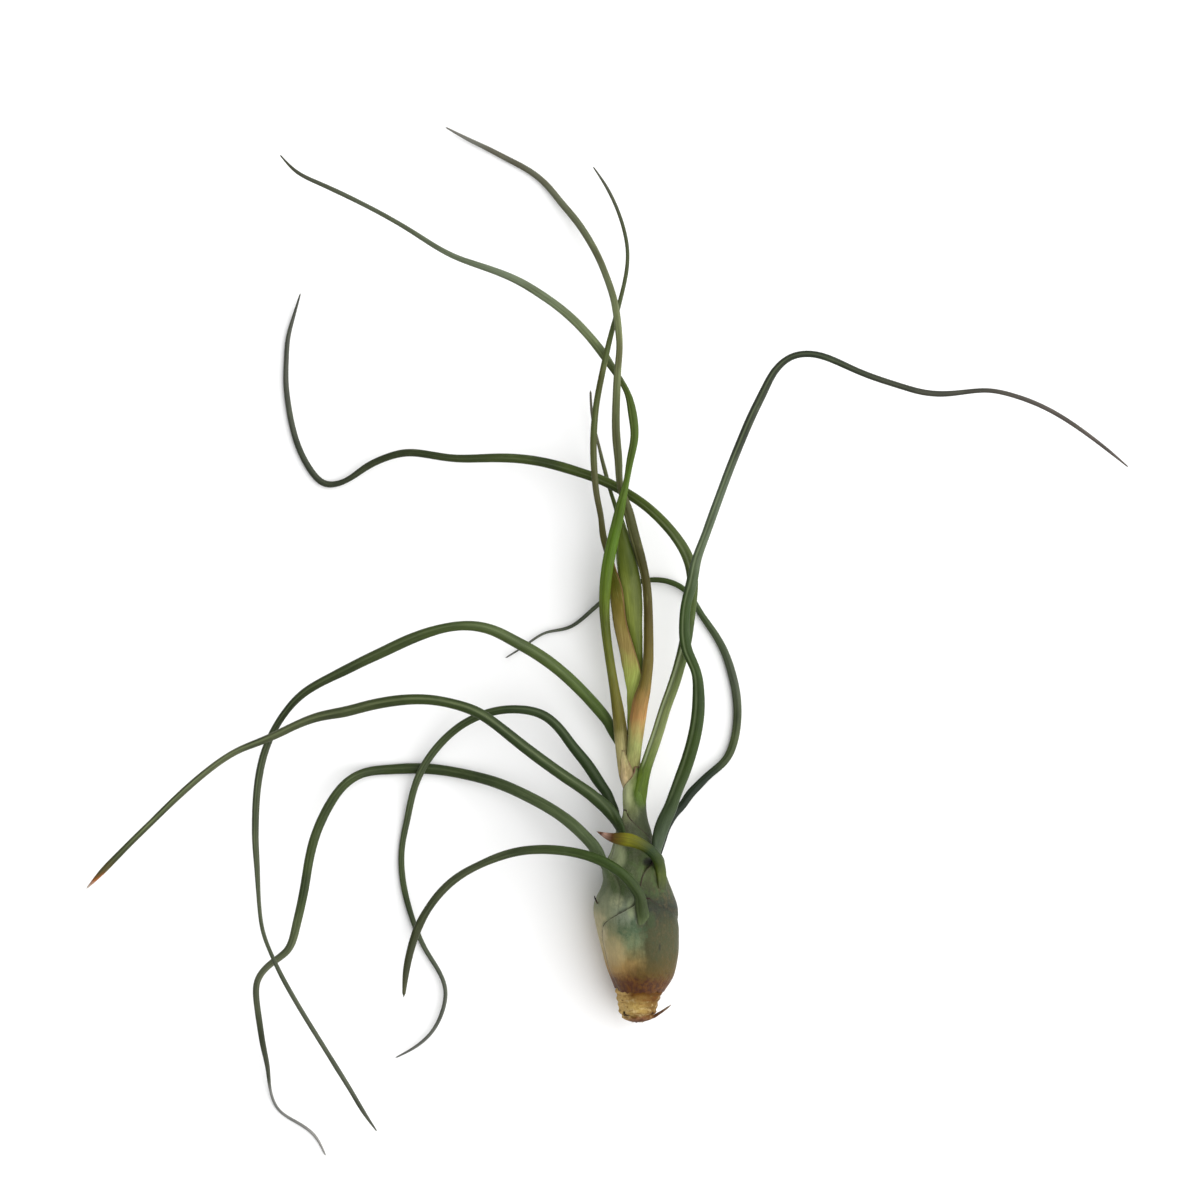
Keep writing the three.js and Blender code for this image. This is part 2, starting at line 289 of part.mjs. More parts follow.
const BRACT_LEFT = [
  [6.05, -45.22, 11.28, 1.35, 0.41, -90], [5.97, -41.98, 11.26, 2.5, 0.57, -90],
  [5.81, -39.28, 11.23, 2.59, 0.81, -73], [5.54, -36.04, 11.23, 3.08, 1.51, -25],
  [5.08, -31.18, 11.18, 3.51, 2.21, 0], [4.54, -25.23, 11.23, 3.67, 2.48, 0],
  [3.81, -19.01, 11.39, 3.3, 2.38, 0], [2.84, -13.06, 11.61, 2.7, 2.16, 0],
  [1.87, -7.12, 11.88, 2.48, 1.89, 0], [1.05, -1.71, 12.29, 2.48, 1.89, 0], [0.41, 3.69, 12.96, 2.59, 1.94, 0],
  [0.08, 8.55, 14.18, 2.8, 2, 0], [0.19, 13.4, 15.8, 3.07, 2.11, 0], [0.62, 18.23, 16.74, 3.23, 2.21, 0],
  [1.42, 23.07, 17.42, 3.28, 2.21, 0], [2.47, 27.89, 17.96, 3.11, 2.16, 0],
  [3.62, 32.71, 18.63, 2.95, 2.05, 0], [4.47, 36.71, 19.71, 2.57, 1.89, 0], [6, 43.17, 20.72, 1.66, 1.27, 0],
  [7.04, 49.05, 22.55, 2.02, 1.38, 0], [8.09, 54.92, 23.89, 2.17, 1.48, 0],
  [7.57, 60.92, 23.44, 2.41, 1.53, 0], [6.14, 66.84, 21.82, 1.69, 1.27, 0], [3.11, 72.06, 20.59, 1.76, 1.3, 0],
  [-0.23, 77.09, 20.62, 2.44, 1.56, 0], [-3.97, 81.76, 21.66, 2.34, 1.59, 0],
  [-8.11, 86.06, 22.71, 2.31, 1.59, 0], [-12.69, 89.91, 23.42, 2.25, 1.55, 0],
  [-17.63, 93.31, 23.95, 2.24, 1.52, 0], [-22.8, 96.35, 24.31, 2.12, 1.44, 0],
  [-28.32, 98.75, 24.37, 1.91, 1.32, 0], [-34.01, 100.76, 24.06, 1.74, 1.19, 0],
  [-39.68, 102.87, 23.54, 1.53, 1.06, 0], [-45.05, 105.72, 22.83, 1.4, 0.97, 0],
  [-50.17, 109.03, 21.97, 1.33, 0.91, 0], [-55.35, 112.24, 21.27, 1.24, 0.86, 0],
  [-60.65, 115.23, 20.73, 1.24, 0.86, 0], [-66.05, 118.05, 20.2, 1.25, 0.86, 0],
  [-71.54, 120.75, 19.5, 1.27, 0.85, 0], [-77.09, 123.32, 18.79, 1.15, 0.77, 0],
  [-82.5, 126.18, 18.15, 0.96, 0.62, 0], [-86.82, 130.54, 17.28, 0.4, 0.32, 0],
];
const BRACT_RIGHT = [
  [8.72, -40.6, 13.32, 1.35, 0.41, 15], [8.1, -37.36, 13.31, 2.01, 0.57, 15],
  [7.9, -34.06, 13.39, 2.7, 0.86, 10], [8.01, -31.09, 13.5, 3.4, 1.51, 2], [8.3, -27.85, 13.66, 3.83, 2.27, 0],
  [8.76, -22.98, 14.18, 4.31, 2.7, 0], [9.32, -18.92, 14.58, 4.39, 2.7, 0],
  [9.91, -15.68, 14.85, 4.23, 2.59, 0], [10.72, -12.72, 14.99, 3.66, 2.32, 0],
  [11.42, -9.22, 14.85, 3.02, 2.05, 0], [11.8, -5.99, 14.58, 2.88, 1.89, 0],
  [11.94, -2.23, 14.31, 2.75, 1.78, 0], [11.96, 1.81, 14.18, 2.64, 1.67, 0],
  [11.91, 6.39, 14.18, 2.48, 1.57, 0], [11.75, 11.24, 14.31, 2.42, 1.51, 0],
  [11.4, 15.29, 14.45, 2.37, 1.51, 0], [10.67, 19.32, 14.72, 2.4, 1.51, 0],
  [9.64, 23.36, 14.99, 2.64, 1.57, 0], [8.5, 27.39, 15.39, 2.75, 1.62, 0], [7.42, 31.42, 15.8, 2.8, 1.62, 0],
  [6.53, 34.91, 16.2, 2.69, 1.57, 0], [4.28, 42.29, 16.7, 1.81, 1.23, 0], [3.86, 48.4, 17.69, 2.11, 1.31, 0],
  [3.31, 54.49, 18.67, 2.23, 1.36, 0], [3.13, 60.57, 20.15, 2.15, 1.34, 0], [3.31, 66.54, 23.38, 2.09, 1.3, 0],
  [3.62, 72.56, 25.01, 1.93, 1.21, 0], [4.09, 78.65, 25.06, 1.76, 1.15, 0], [3.67, 84.82, 23.8, 1.92, 1.19, 0],
  [2.75, 91.11, 20.36, 1.93, 1.19, 0], [0.96, 97.38, 15.21, 1.84, 1.16, 0],
  [-1.35, 103.53, 10.16, 1.88, 1.16, 0], [-4.29, 109.34, 6.15, 1.94, 1.19, 0],
  [-7.81, 114.74, 3.43, 1.93, 1.18, 0], [-11.81, 119.69, 1.84, 1.88, 1.14, 0],
  [-15.83, 124.56, 1.1, 1.73, 1.06, 0], [-20.68, 128.47, 0.86, 1.62, 1, 0],
  [-26.18, 131.45, 0.84, 1.52, 0.92, 0], [-31.71, 134.32, 0.95, 1.35, 0.81, 0],
  [-37.33, 137.01, 1.28, 1.04, 0.61, 0], [-42.8, 139.87, 1.89, 0.41, 0.3, 0],
];
const BRACT_BACK = [
  [2.24, 22.04, 12.69, 1.35, 0.81, 0], [1.22, 23.52, 12.42, 1.89, 1.19, 0],
  [0.68, 25.28, 12.42, 1.94, 1.24, 0], [-0.03, 27.7, 12.69, 1.89, 1.08, 0],
  [-0.77, 33.15, 11.12, 1.62, 0.84, 0], [-1.9, 39.09, 14.12, 1.69, 0.85, 0],
  [-2.56, 45.08, 16.81, 1.77, 0.88, 0], [-2.86, 51.09, 18.78, 1.79, 0.9, 0],
  [-2.71, 57.09, 20.72, 1.8, 0.9, 0], [-2.14, 63.03, 22.77, 1.69, 0.86, 0],
  [-1.1, 68.91, 24.54, 1.67, 0.84, 0], [0.15, 74.77, 25.56, 1.6, 0.8, 0], [1.5, 80.79, 23.6, 1.45, 0.73, 0],
  [3.07, 86.94, 19.46, 1.31, 0.66, 0], [4.62, 93.06, 16.23, 1.15, 0.59, 0], [5.93, 99.16, 14.56, 1.1, 0.55, 0],
  [6.31, 105.31, 13.74, 1.02, 0.52, 0], [5.29, 111.37, 13.29, 1, 0.5, 0], [3.33, 117.19, 12.93, 0.95, 0.47, 0],
  [0.63, 122.68, 12.96, 0.85, 0.4, 0], [-2.72, 127.78, 12.96, 0.4, 0.3, 0],
];
const FLORAL_BRACT_LONG = [
  [4.31, 28.83, 9.99, 1.08, 0.88, 0], [4.02, 31.25, 9.7, 1.2, 0.93, 0], [3.69, 33.67, 9.41, 1.23, 0.94, 0],
  [3.22, 36.06, 9.12, 1.21, 0.93, 0], [2.49, 38.39, 8.84, 1.09, 0.89, 0], [1.74, 40.72, 8.61, 1.04, 0.86, 0],
  [1.08, 43.07, 8.47, 1.09, 0.87, 0], [0.29, 46.09, 8.37, 1.13, 0.86, 0], [-0.51, 49.12, 8.35, 1.03, 0.8, 0],
  [-1.22, 52.16, 8.37, 0.88, 0.72, 0], [-2.47, 57.14, 8.37, 0.83, 0.66, 0], [-3.34, 62.2, 8.37, 0.74, 0.59, 0],
  [-3.66, 67.32, 8.37, 0.6, 0.51, 0],
];

// Young spike: axis and half sizes at successive stations: [y, x, z, half width, half depth].
const SPIKE = [
  [-9.28, 9.97, 11.88, 0.32, 0.27], [-7.11, 9.8, 12.42, 0.86, 0.7], [-3.59, 9.25, 13.1, 1.24, 1.08],
  [0.46, 8.71, 13.5, 1.67, 1.4], [5.31, 8.12, 13.64, 2.21, 1.62], [9.9, 7.74, 13.64, 2.64, 1.84],
  [13.94, 7.31, 13.64, 2.91, 1.89], [17.98, 6.71, 13.64, 2.97, 1.84], [22.03, 6.07, 13.64, 2.8, 1.67],
  [26.07, 5.47, 13.5, 2.37, 1.46], [30.12, 4.91, 13.37, 1.67, 1.13], [33.63, 4.51, 13.23, 0.81, 0.65],
  [35.79, 4.29, 13.12, 0.38, 0.38],
];

// Trough at the foot of the back bract, which holds the spike:
// [y, x, z, half width, half depth, first angle, last angle].
const CLASP = [
  [-15.77, 7.41, 11.34, 1.22, 0.86, -200, 120], [-13.06, 8.08, 11.61, 1.94, 1.08, -195, 80],
  [-10.9, 8.62, 11.88, 2.92, 1.24, -190, 45], [-8.46, 9.15, 12.29, 3.86, 1.4, -185, 15],
  [-6.29, 9.15, 12.83, 4.37, 1.57, -180, 5], [-3.86, 9.01, 13.23, 4.64, 1.73, -175, -3],
  [0.46, 8.6, 13.64, 5.18, 1.97, -170, -13], [5.04, 8.06, 13.77, 5.58, 2.21, -165, -20.6],
  [9.63, 7.52, 13.91, 5.66, 2.38, -160, -21], [13.94, 6.71, 13.77, 5.39, 2.16, -150, -19],
  [18.52, 5.1, 13.5, 4.04, 1.62, -145, -21.5], [21.49, 3.08, 13.1, 2.43, 1.19, -155, -8],
  [23.39, 1.81, 12.69, 1.35, 0.81, -180, 30],
];
// Its narrow foot: [x, y, z, width, depth, lean].
const CLASP_FOOT = [
  [7.11, -19.29, 11.02, 1.08, 0.92, 0], [7.11, -17.67, 11.07, 1.73, 1.35, 0],
  [7.35, -16.04, 11.34, 2.16, 1.51, 0], [7.7, -14.69, 11.34, 1.62, 0.97, 0],
];

// ---- solids -------------------------------------------------------------------------
const wasm = await Module();
wasm.setup();

// One closed BufferGeometry from rings of points that all have the same count. A ring
// is closed on itself; the first and last rings are closed with a fan.
function loft(rings) {
  const n = rings[0].length;
  const pos = [];
  for (const ring of rings) for (const p of ring) pos.push(p.x, p.y, p.z);
  const idx = [];
  for (let i = 0; i + 1 < rings.length; i++) {
    for (let j = 0; j < n; j++) {
      const a = i * n + j, b = i * n + ((j + 1) % n), c = a + n, d = b + n;
      idx.push(a, b, c, b, d, c);
    }
  }
  const cap = (base, flip) => {
    const c = new THREE.Vector3();
    for (let j = 0; j < n; j++) c.add(new THREE.Vector3(pos[3 * (base + j)], pos[3 * (base + j) + 1], pos[3 * (base + j) + 2]));
    c.divideScalar(n);
    const k = pos.length / 3;
    pos.push(c.x, c.y, c.z);
    for (let j = 0; j < n; j++) {
      const a = base + j, b = base + ((j + 1) % n);
      if (flip) idx.push(k, b, a); else idx.push(k, a, b);
    }
  };
  cap(0, true);
  cap((rings.length - 1) * n, false);
  return oriented(pos, idx);
}

// A geometry whose faces point out.
function oriented(pos, idx) {
  let vol = 0;
  const P = (i) => new THREE.Vector3(pos[3 * i], pos[3 * i + 1], pos[3 * i + 2]);
  for (let t = 0; t < idx.length; t += 3) {
    vol += P(idx[t]).dot(P(idx[t + 1]).cross(P(idx[t + 2])));
  }
  if (vol < 0) for (let t = 0; t < idx.length; t += 3) [idx[t + 1], idx[t + 2]] = [idx[t + 2], idx[t + 1]];
  const g = new THREE.BufferGeometry();
  g.setAttribute('position', new THREE.Float32BufferAttribute(pos, 3));
  g.setIndex(idx);
  return g;
}

// Tube of elliptical section along a smooth curve through the stations.
function tube(table, sides) {
  const pts = table.map((r) => new THREE.Vector3(r[0], r[1], r[2]));
  const curve = new THREE.CatmullRomCurve3(pts, false, 'centripetal');
  const rings = [];
  const last = table.length - 1;
  for (let i = 0; i <= last; i++) {
    const t = curve.getTangent(i / last);
    const lean = THREE.MathUtils.degToRad(table[i][5]);
    const up = new THREE.Vector3(Math.sin(lean), 0, Math.cos(lean));
    const side = new THREE.Vector3().crossVectors(t, up).normalize();
    const out = new THREE.Vector3().crossVectors(side, t).normalize();
    const ring = [];
    for (let j = 0; j < sides; j++) {
      const a = (2 * Math.PI * j) / sides;
      ring.push(pts[i].clone()
        .addScaledVector(side, Math.cos(a) * table[i][3] / 2)
        .addScaledVector(out, Math.sin(a) * table[i][4] / 2));
    }
    for (const p of ring) p.z = Math.max(p.z, 0);
    rings.push(ring);
  }
  return loft(rings);
}

function station(table, y) {
  let i = 0;
  while (i + 2 < table.length && table[i + 1][0] < y) i++;
  const f = (y - table[i][0]) / (table[i + 1][0] - table[i][0]);
  return table[i].map((v, k) => v + f * (table[i + 1][k] - v));
}

// Curved wall round an axis, between two angles that change along it, with a row at each
// station of the axis. The wall's inner face lies at its outer face less the thickness.
function wall(rows, outer, thickness, stepDeg, stations, floor) {
  const dense = [];
  for (let i = 0; i + 1 < rows.length; i++) {
    const [p, q] = [rows[i], rows[i + 1]];
    dense.push(p);
    for (const [y] of stations) {
      if (y < p[0] + 0.45 || y > q[0] - 0.45) continue;
      dense.push(p.map((v, j) => v + ((y - p[0]) / (q[0] - p[0])) * (q[j] - v)));
    }
  }
  dense.push(rows[rows.length - 1]);
  const span = Math.max(...dense.map((r) => r[2] - r[1]));
  const cols = Math.max(2, Math.ceil(span / stepDeg));
  const rings = dense.map((r) => {
    const ring = [];
    for (let j = 0; j <= cols; j++) {
      const a = THREE.MathUtils.degToRad(r[1] + (j / cols) * (r[2] - r[1]));
      const p = outer(r[0], a, r[3] || 0, 0);
      if (floor !== undefined) p.z = Math.max(p.z, floor);
      ring.push(p);
    }
    for (let j = cols; j >= 0; j--) {
      const a = THREE.MathUtils.degToRad(r[1] + (j / cols) * (r[2] - r[1]));
      const p = outer(r[0], a, r[3] || 0, thickness);
      if (floor !== undefined) p.z = Math.max(p.z, floor + thickness);
      ring.push(p);
    }
    return ring;
  });
  return loftStrip(rings, cols);
}

// As loft, with the two ends closed by a strip between the outer and inner rows.
function loftStrip(rings, cols) {
  const n = rings[0].length;
  const pos = [];
  for (const ring of rings) for (const p of ring) pos.push(p.x, p.y, p.z);
  const idx = [];
  for (let i = 0; i + 1 < rings.length; i++) {
    for (let j = 0; j < n; j++) {
      const a = i * n + j, b = i * n + ((j + 1) % n), c = a + n, d = b + n;
      idx.push(a, b, c, b, d, c);
    }
  }
  const end = (base, flip) => {
    for (let j = 0; j < cols; j++) {
      const a = base + j, b = base + j + 1, c = base + n - 1 - j, d = base + n - 2 - j;
      if (flip) idx.push(a, c, b, b, c, d); else idx.push(a, b, c, b, d, c);
    }
  };
  end(0, true);
  end((rings.length - 1) * n, false);
  return oriented(pos, idx);
}

function sheath(name) {
  const { layer, rows } = SHEATHS[name];
  const outer = (y, a, dr, t) => {
    const [, x, z, r] = station(BULB_AXIS, y);
    const rr = r - layer * LAYER_PITCH + dr - t;
    return new THREE.Vector3(x + rr * Math.sin(a), y, z + rr * Math.cos(a));
  };
  return wall(rows, outer, SHEATH_THICKNESS, SHEATH_STEP_DEG, BULB_AXIS, layer * FLAT_PITCH);
}

function toManifold(g) {
  const m = mergeVertices(g, 1e-4);
  return new wasm.Manifold(new wasm.Mesh({
    numProp: 3,
    vertProperties: new Float32Array(m.attributes.position.array),
    triVerts: new Uint32Array(m.index.array),
  }));
}

function join(...list) {
  let solid = toManifold(list[0]);
  for (const g of list.slice(1)) solid = solid.add(toManifold(g));
  const m = solid.getMesh();
  const g = new THREE.BufferGeometry();
  g.setAttribute('position', new THREE.BufferAttribute(new Float32Array(m.vertProperties), 3));
  g.setIndex(new THREE.BufferAttribute(new Uint32Array(m.triVerts), 1));
  return g;
}

// Bract of the spike: a curved scale that wraps part of the spike's section. Its middle
// turns from one angle to another, and it narrows to a soft point from 'shoulder' on.
function scale(from, to, a0, a1, end, shoulder) {
  const mid = (a0 + a1) / 2, half = (a1 - a0) / 2;
  const rows = [];
  const n = 12;
  for (let i = 0; i <= n; i++) {
    const f = i / n;
    const late = Math.max(0, (f - shoulder) / (1 - shoulder));
    const wide = Math.max(0.12, Math.sqrt(Math.max(0, 1 - late ** 2.2)) * (0.55 + 0.45 * Math.min(1, 4 * f)));
    const m = mid + (end - mid) * f * f;
    rows.push([from + f * (to - from), m - half * wide, m + half * wide, 0]);
  }
  const outer = (y, a, dr, t) => {
    const [, x, z, w, d] = station(SPIKE, y);
    return new THREE.Vector3(x + Math.max(0.25, w - t) * Math.sin(a), y, z + Math.max(0.25, d - t) * Math.cos(a));
  };
  return wall(rows, outer, BRACT_THICKNESS, 18, [], undefined);
}

// Trough of the back bract.
function clasp() {
  const rows = CLASP.map((r) => [r[0], r[5], r[6], 0]);
  const outer = (y, a, dr, t) => {
    const [, x, z, w, d] = station(CLASP, y);
    return new THREE.Vector3(x + (w - t) * Math.sin(a), y, z + (d - t) * Math.cos(a));
  };
  return wall(rows, outer, CLASP_THICKNESS, 18, [], undefined);
}

// Rolled tip of the spike: a closed spindle.
function spindle(from, to, inset) {
  const rings = [];
  const n = 8;
  for (let i = 0; i <= n; i++) {
    const y = from + (i / n) * (to - from);
    const [, x, z, w, d] = station(SPIKE, y);
    const ring = [];
    const e = Math.min(1, 0.25 + 2.2 * (i / n));
    for (let j = 0; j < 8; j++) {
      const a = (2 * Math.PI * j) / 8;
      ring.push(new THREE.Vector3(x + Math.max(0.3, (w - inset) * e) * Math.sin(a), y, z + Math.max(0.3, (d - inset) * e) * Math.cos(a)));
    }
    rings.push(ring);
  }
  return loft(rings);
}

// ---- the plant ----------------------------------------------------------------------
const plant = new THREE.Group();
function piece(name, geometry, color, roughness) {
  geometry.computeVertexNormals();
  const mesh = new THREE.Mesh(geometry, new THREE.MeshStandardMaterial({ color, roughness, metalness: 0 }));
  mesh.name = name;
  plant.add(mesh);
}

const GREEN = 0x3e5629, GREY_GREEN = 0x6d7a5c, TAN = 0xa08a58, BROWN = 0x6e4a22;
piece('stem', tube(STEM, STEM_SIDES), BROWN, 0.9);
piece('root', tube(ROOT, BLADE_SIDES), 0x6b5a48, 0.9);
piece('old_leaf_base', join(sheath('old_leaf_base'), tube(OLD_POINT, BLADE_SIDES)), TAN, 0.85);
piece('leaf_front', join(sheath('leaf_front'), tube(LEAF_FRONT, BLADE_SIDES)), GREY_GREEN, 0.7);
piece('leaf_stub', join(sheath('leaf_stub'), tube(LEAF_STUB, BLADE_SIDES)), GREY_GREEN, 0.7);
piece('leaf_left', join(sheath('leaf_left'), tube(LEAF_LEFT, BLADE_SIDES)), GREEN, 0.6);
piece('leaf_right_low', join(sheath('leaf_right_low'), tube(LEAF_RIGHT_LOW, BLADE_SIDES)), GREEN, 0.6);
piece('leaf_right_tall', join(sheath('leaf_right_tall'), tube(LEAF_RIGHT_TALL, BLADE_SIDES)), GREEN, 0.6);
piece('leaf_long_left', join(sheath('leaf_long_left'), tube(LEAF_LONG_LEFT, BLADE_SIDES)), GREEN, 0.6);
piece('leaf_curl', join(sheath('leaf_curl'), tube(LEAF_CURL, BLADE_SIDES)), GREEN, 0.6);
piece('leaf_back', join(sheath('leaf_back'), tube(LEAF_BACK, BLADE_SIDES)), GREEN, 0.6);
piece('leaf_neck', join(sheath('leaf_neck'), tube(LEAF_NECK, BLADE_SIDES)), 0x8c9a68, 0.6);
piece('bract_left', join(sheath('bract_left'), tube(BRACT_LEFT, BLADE_SIDES)), GREEN, 0.6);
piece('bract_right', join(sheath('bract_right'), tube(BRACT_RIGHT, BLADE_SIDES)), 0xa8814c, 0.6);
piece('bract_back', join(clasp(), tube(CLASP_FOOT, BLADE_SIDES), tube(BRACT_BACK, BLADE_SIDES)), 0x8a7a45, 0.6);
piece('floral_bract_long', tube(FLORAL_BRACT_LONG, BLADE_SIDES), GREEN, 0.6);
const [S0, S1] = [SPIKE[0][0], SPIKE[SPIKE.length - 1][0]];
const at = (f) => S0 + f * (S1 - S0);
piece('floral_bract_lower', scale(at(0.02), at(0.90), -78, 108, 14, 0.42), 0x7f9a45, 0.6);
piece('floral_bract_side', scale(at(0.10), at(0.80), 120, 256, 250, 0.5), 0x6f8a40, 0.6);
piece('floral_bract_tip', spindle(at(0.22), at(0.99), BRACT_THICKNESS + BRACT_GAP), 0x3c5a22, 0.6);

export default plant;
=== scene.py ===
"""Bulb-forming air plant lying on its side: the looks, in metres, in the part's frame.

Each leaf is one piece: a thin sheath that wraps the bulb and a rolled, channelled blade
that grows out of it. Tables are in millimetres and turned into metres when meshes are made.
"""
import math

import bpy
import numpy as np
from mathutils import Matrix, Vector, noise


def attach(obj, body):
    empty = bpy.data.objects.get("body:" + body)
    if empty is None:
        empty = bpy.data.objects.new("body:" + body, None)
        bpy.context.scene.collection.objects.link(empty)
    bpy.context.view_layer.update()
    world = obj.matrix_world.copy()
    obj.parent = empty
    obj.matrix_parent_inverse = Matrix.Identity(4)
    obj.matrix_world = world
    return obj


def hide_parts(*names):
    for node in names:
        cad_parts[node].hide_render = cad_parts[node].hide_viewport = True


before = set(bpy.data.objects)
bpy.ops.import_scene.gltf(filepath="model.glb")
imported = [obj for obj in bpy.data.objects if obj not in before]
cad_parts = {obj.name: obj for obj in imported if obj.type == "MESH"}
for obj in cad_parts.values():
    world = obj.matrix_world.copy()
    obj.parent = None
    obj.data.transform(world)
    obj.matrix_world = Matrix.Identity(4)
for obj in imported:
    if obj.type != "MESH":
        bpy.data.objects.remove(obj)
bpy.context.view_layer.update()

MM = 0.001

# ---------------------------------------------------------------- driving dimensions
LAYER = 0.34         # from one sheath's outer face to the next one's, where both are there
DEEP = 0.55          # what each further one adds, under the first
SKIN = 0.27          # a sheath's thickness, in its middle
LIP = 0.09           # the same, at its margin
FALL = 3.2           # how far outside an outer sheath's margin an inner one has risen to the surface
TAU = 2 * math.pi

# Bulb and neck: visible radius round the axis at successive stations: [y, x, z, radius].
BODY = np.array([
    [-96.71, 9.23, 9.72, 5.95], [-95.07, 9.5, 9.94, 6.65], [-93.97, 9.71, 10.04, 7.03],
    [-92.88, 9.93, 10.15, 7.52], [-90.97, 10.14, 10.37, 8.46], [-87.97, 10.03, 10.58, 9.52],
    [-83.63, 9.8, 10.8, 10.37], [-80.65, 9.44, 10.85, 10.81], [-76.59, 8.95, 10.96, 11.3],
    [-73.89, 8.62, 10.96, 11.46], [-71.45, 8.46, 11.02, 11.4], [-69.28, 8.43, 11.07, 10.78],
    [-67.12, 8.62, 11.12, 9.78], [-64.95, 8.62, 11.21, 9], [-63.05, 8.35, 11.29, 8.73],
    [-60.89, 8.08, 11.34, 8.51], [-59, 8.35, 11.34, 7.78], [-56.84, 8.35, 11.34, 6.62],
    [-54.95, 8.24, 11.34, 5.94], [-53.05, 8.14, 11.34, 5.4], [-51.16, 8.03, 11.34, 4.97],
    [-48.73, 8.14, 11.34, 4.11], [-45.49, 8.19, 11.29, 3.51], [-42.79, 8.19, 11.26, 3.43],
    [-38.74, 7.97, 11.23, 3.32], [-34.96, 7.49, 11.18, 2.95], [-31.99, 7.16, 11.18, 2.76],
    [-27.94, 7, 11.18, 2.7],
])

# Sheaths, from the outermost in. Rows from the base up: [y, first angle, last angle].
# Angles are in degrees round the axis, 0 at the top (+Z) and 90 towards +X.
SHEATHS = {
    "L5": [
        [-94.44, -56, 96], [-93.36, -64, 96], [-91.74, -68, 95], [-87.41, -70, 95], [-82.01, -70, 95],
        [-79.31, -66, 95], [-77.68, -62, 94], [-76.6, -60, 92], [-75.52, -52, 88], [-74.44, -42, 80],
        [-73.09, -27, 68], [-72.01, -17, 55], [-70.66, -3, 36], [-69.57, 4, 24], [-68.49, 8, 18],
    ],
    "OLD": [
        [-94.44, 100, 252], [-92.82, 99, 258], [-90.12, 101, 260], [-87.41, 106, 260], [-77.68, 108, 262],
        [-73.63, 108, 263], [-72.55, 118, 264], [-71.74, 132, 264], [-71.06, 148, 264], [-70.39, 165, 263],
        [-69.84, 183, 262], [-69.3, 203, 261], [-68.76, 232, 259],
    ],
    "L6": [
        [-92.28, -12, 92], [-90.39, -18, 98], [-87.41, -20, 100], [-76.6, -13, 100], [-72.55, -5, 100],
        [-69.03, 1, 100], [-66.6, 4, 98], [-64.17, 8, 92], [-62.28, 14, 82], [-60.93, 23, 70],
        [-59.57, 36, 60], [-58.49, 44, 54],
    ],
    "L4": [
        [-93.63, -148, -38], [-91.47, -153, -34], [-87.41, -155, -28], [-76.6, -155, -28], [-71.2, -155, -24],
        [-69.03, -152, -23], [-66.33, -144, -27], [-64.17, -132, -34], [-62.28, -118, -40],
        [-60.65, -102, -46], [-59.3, -88, -50], [-58.22, -75, -54],
    ],
    "L9": [
        [-92.55, 76, 150], [-90.93, 66, 172], [-88.77, 60, 180], [-83.36, 50, 190], [-71.2, 50, 190],
        [-64.98, 60, 188], [-62.82, 70, 184], [-61.2, 80, 176], [-59.57, 92, 164], [-58.22, 102, 148],
        [-57.14, 108, 134],
    ],
    "L8": [
        [-88.23, 25, 130], [-86.87, 14, 145], [-83.36, 2, 155], [-71.2, 8, 160], [-64.44, 25, 158],
        [-62.28, 30, 154], [-60.38, 37, 146], [-58.49, 46, 128], [-56.6, 58, 104], [-55.25, 66, 90],
    ],
    "L2": [
        [-85.79, -55, 70], [-84.17, -66, 85], [-80.66, -72, 100], [-71.2, -75, 110], [-61.74, -75, 110],
        [-56.33, -75, 98], [-53.9, -75, 72], [-51.74, -75, 45], [-49.84, -75, 17], [-48.22, -73, -8],
        [-46.6, -69, -36], [-45.25, -62, -42],
    ],
    "L3": [
        [-85.79, 182, 262], [-84.17, 165, 272], [-80.66, 158, 278], [-61.74, 155, 280], [-56.33, 155, 280],
        [-54.17, 168, 278], [-52.55, 188, 275], [-51.19, 208, 271], [-49.84, 228, 264],
    ],
    "L7": [
        [-60.65, -70, 70], [-56.33, -85, 85], [-43.63, -85, 85], [-40.65, -84, 85], [-39.57, -74, 85],
        [-38.49, -50, 82], [-36.87, -12, 72], [-35.25, 14, 58], [-33.63, 20, 44],
    ],
    "L1": [
        [-82.82, 120, 240], [-80.66, 100, 260], [-71.2, 95, 265], [-59.03, 95, 265], [-43.63, 95, 265],
        [-42.27, 104, 258], [-40.38, 114, 250], [-38.49, 127, 240], [-35.79, 146, 228], [-33.35, 165, 224],
        [-30.65, 186, 218],
    ],
    "L10": [
        [-54.98, 195, 360], [-41.46, 195, 372], [-37.41, 198, 374], [-34.98, 203, 370], [-33.35, 210, 358],
        [-31.19, 222, 338], [-29.3, 236, 318],
    ],
    "L11": [
        [-54.98, -60, 165], [-41.46, -60, 160], [-37.41, -60, 150], [-34.17, -55, 120], [-32, -45, 90],
        [-30.38, -30, 60],
    ],
}
ORDER = list(SHEATHS)

# where the stub's sheath gapes: angle, y, half width, half length
POCKET = [25, -59.30, 1.0, 1.3]

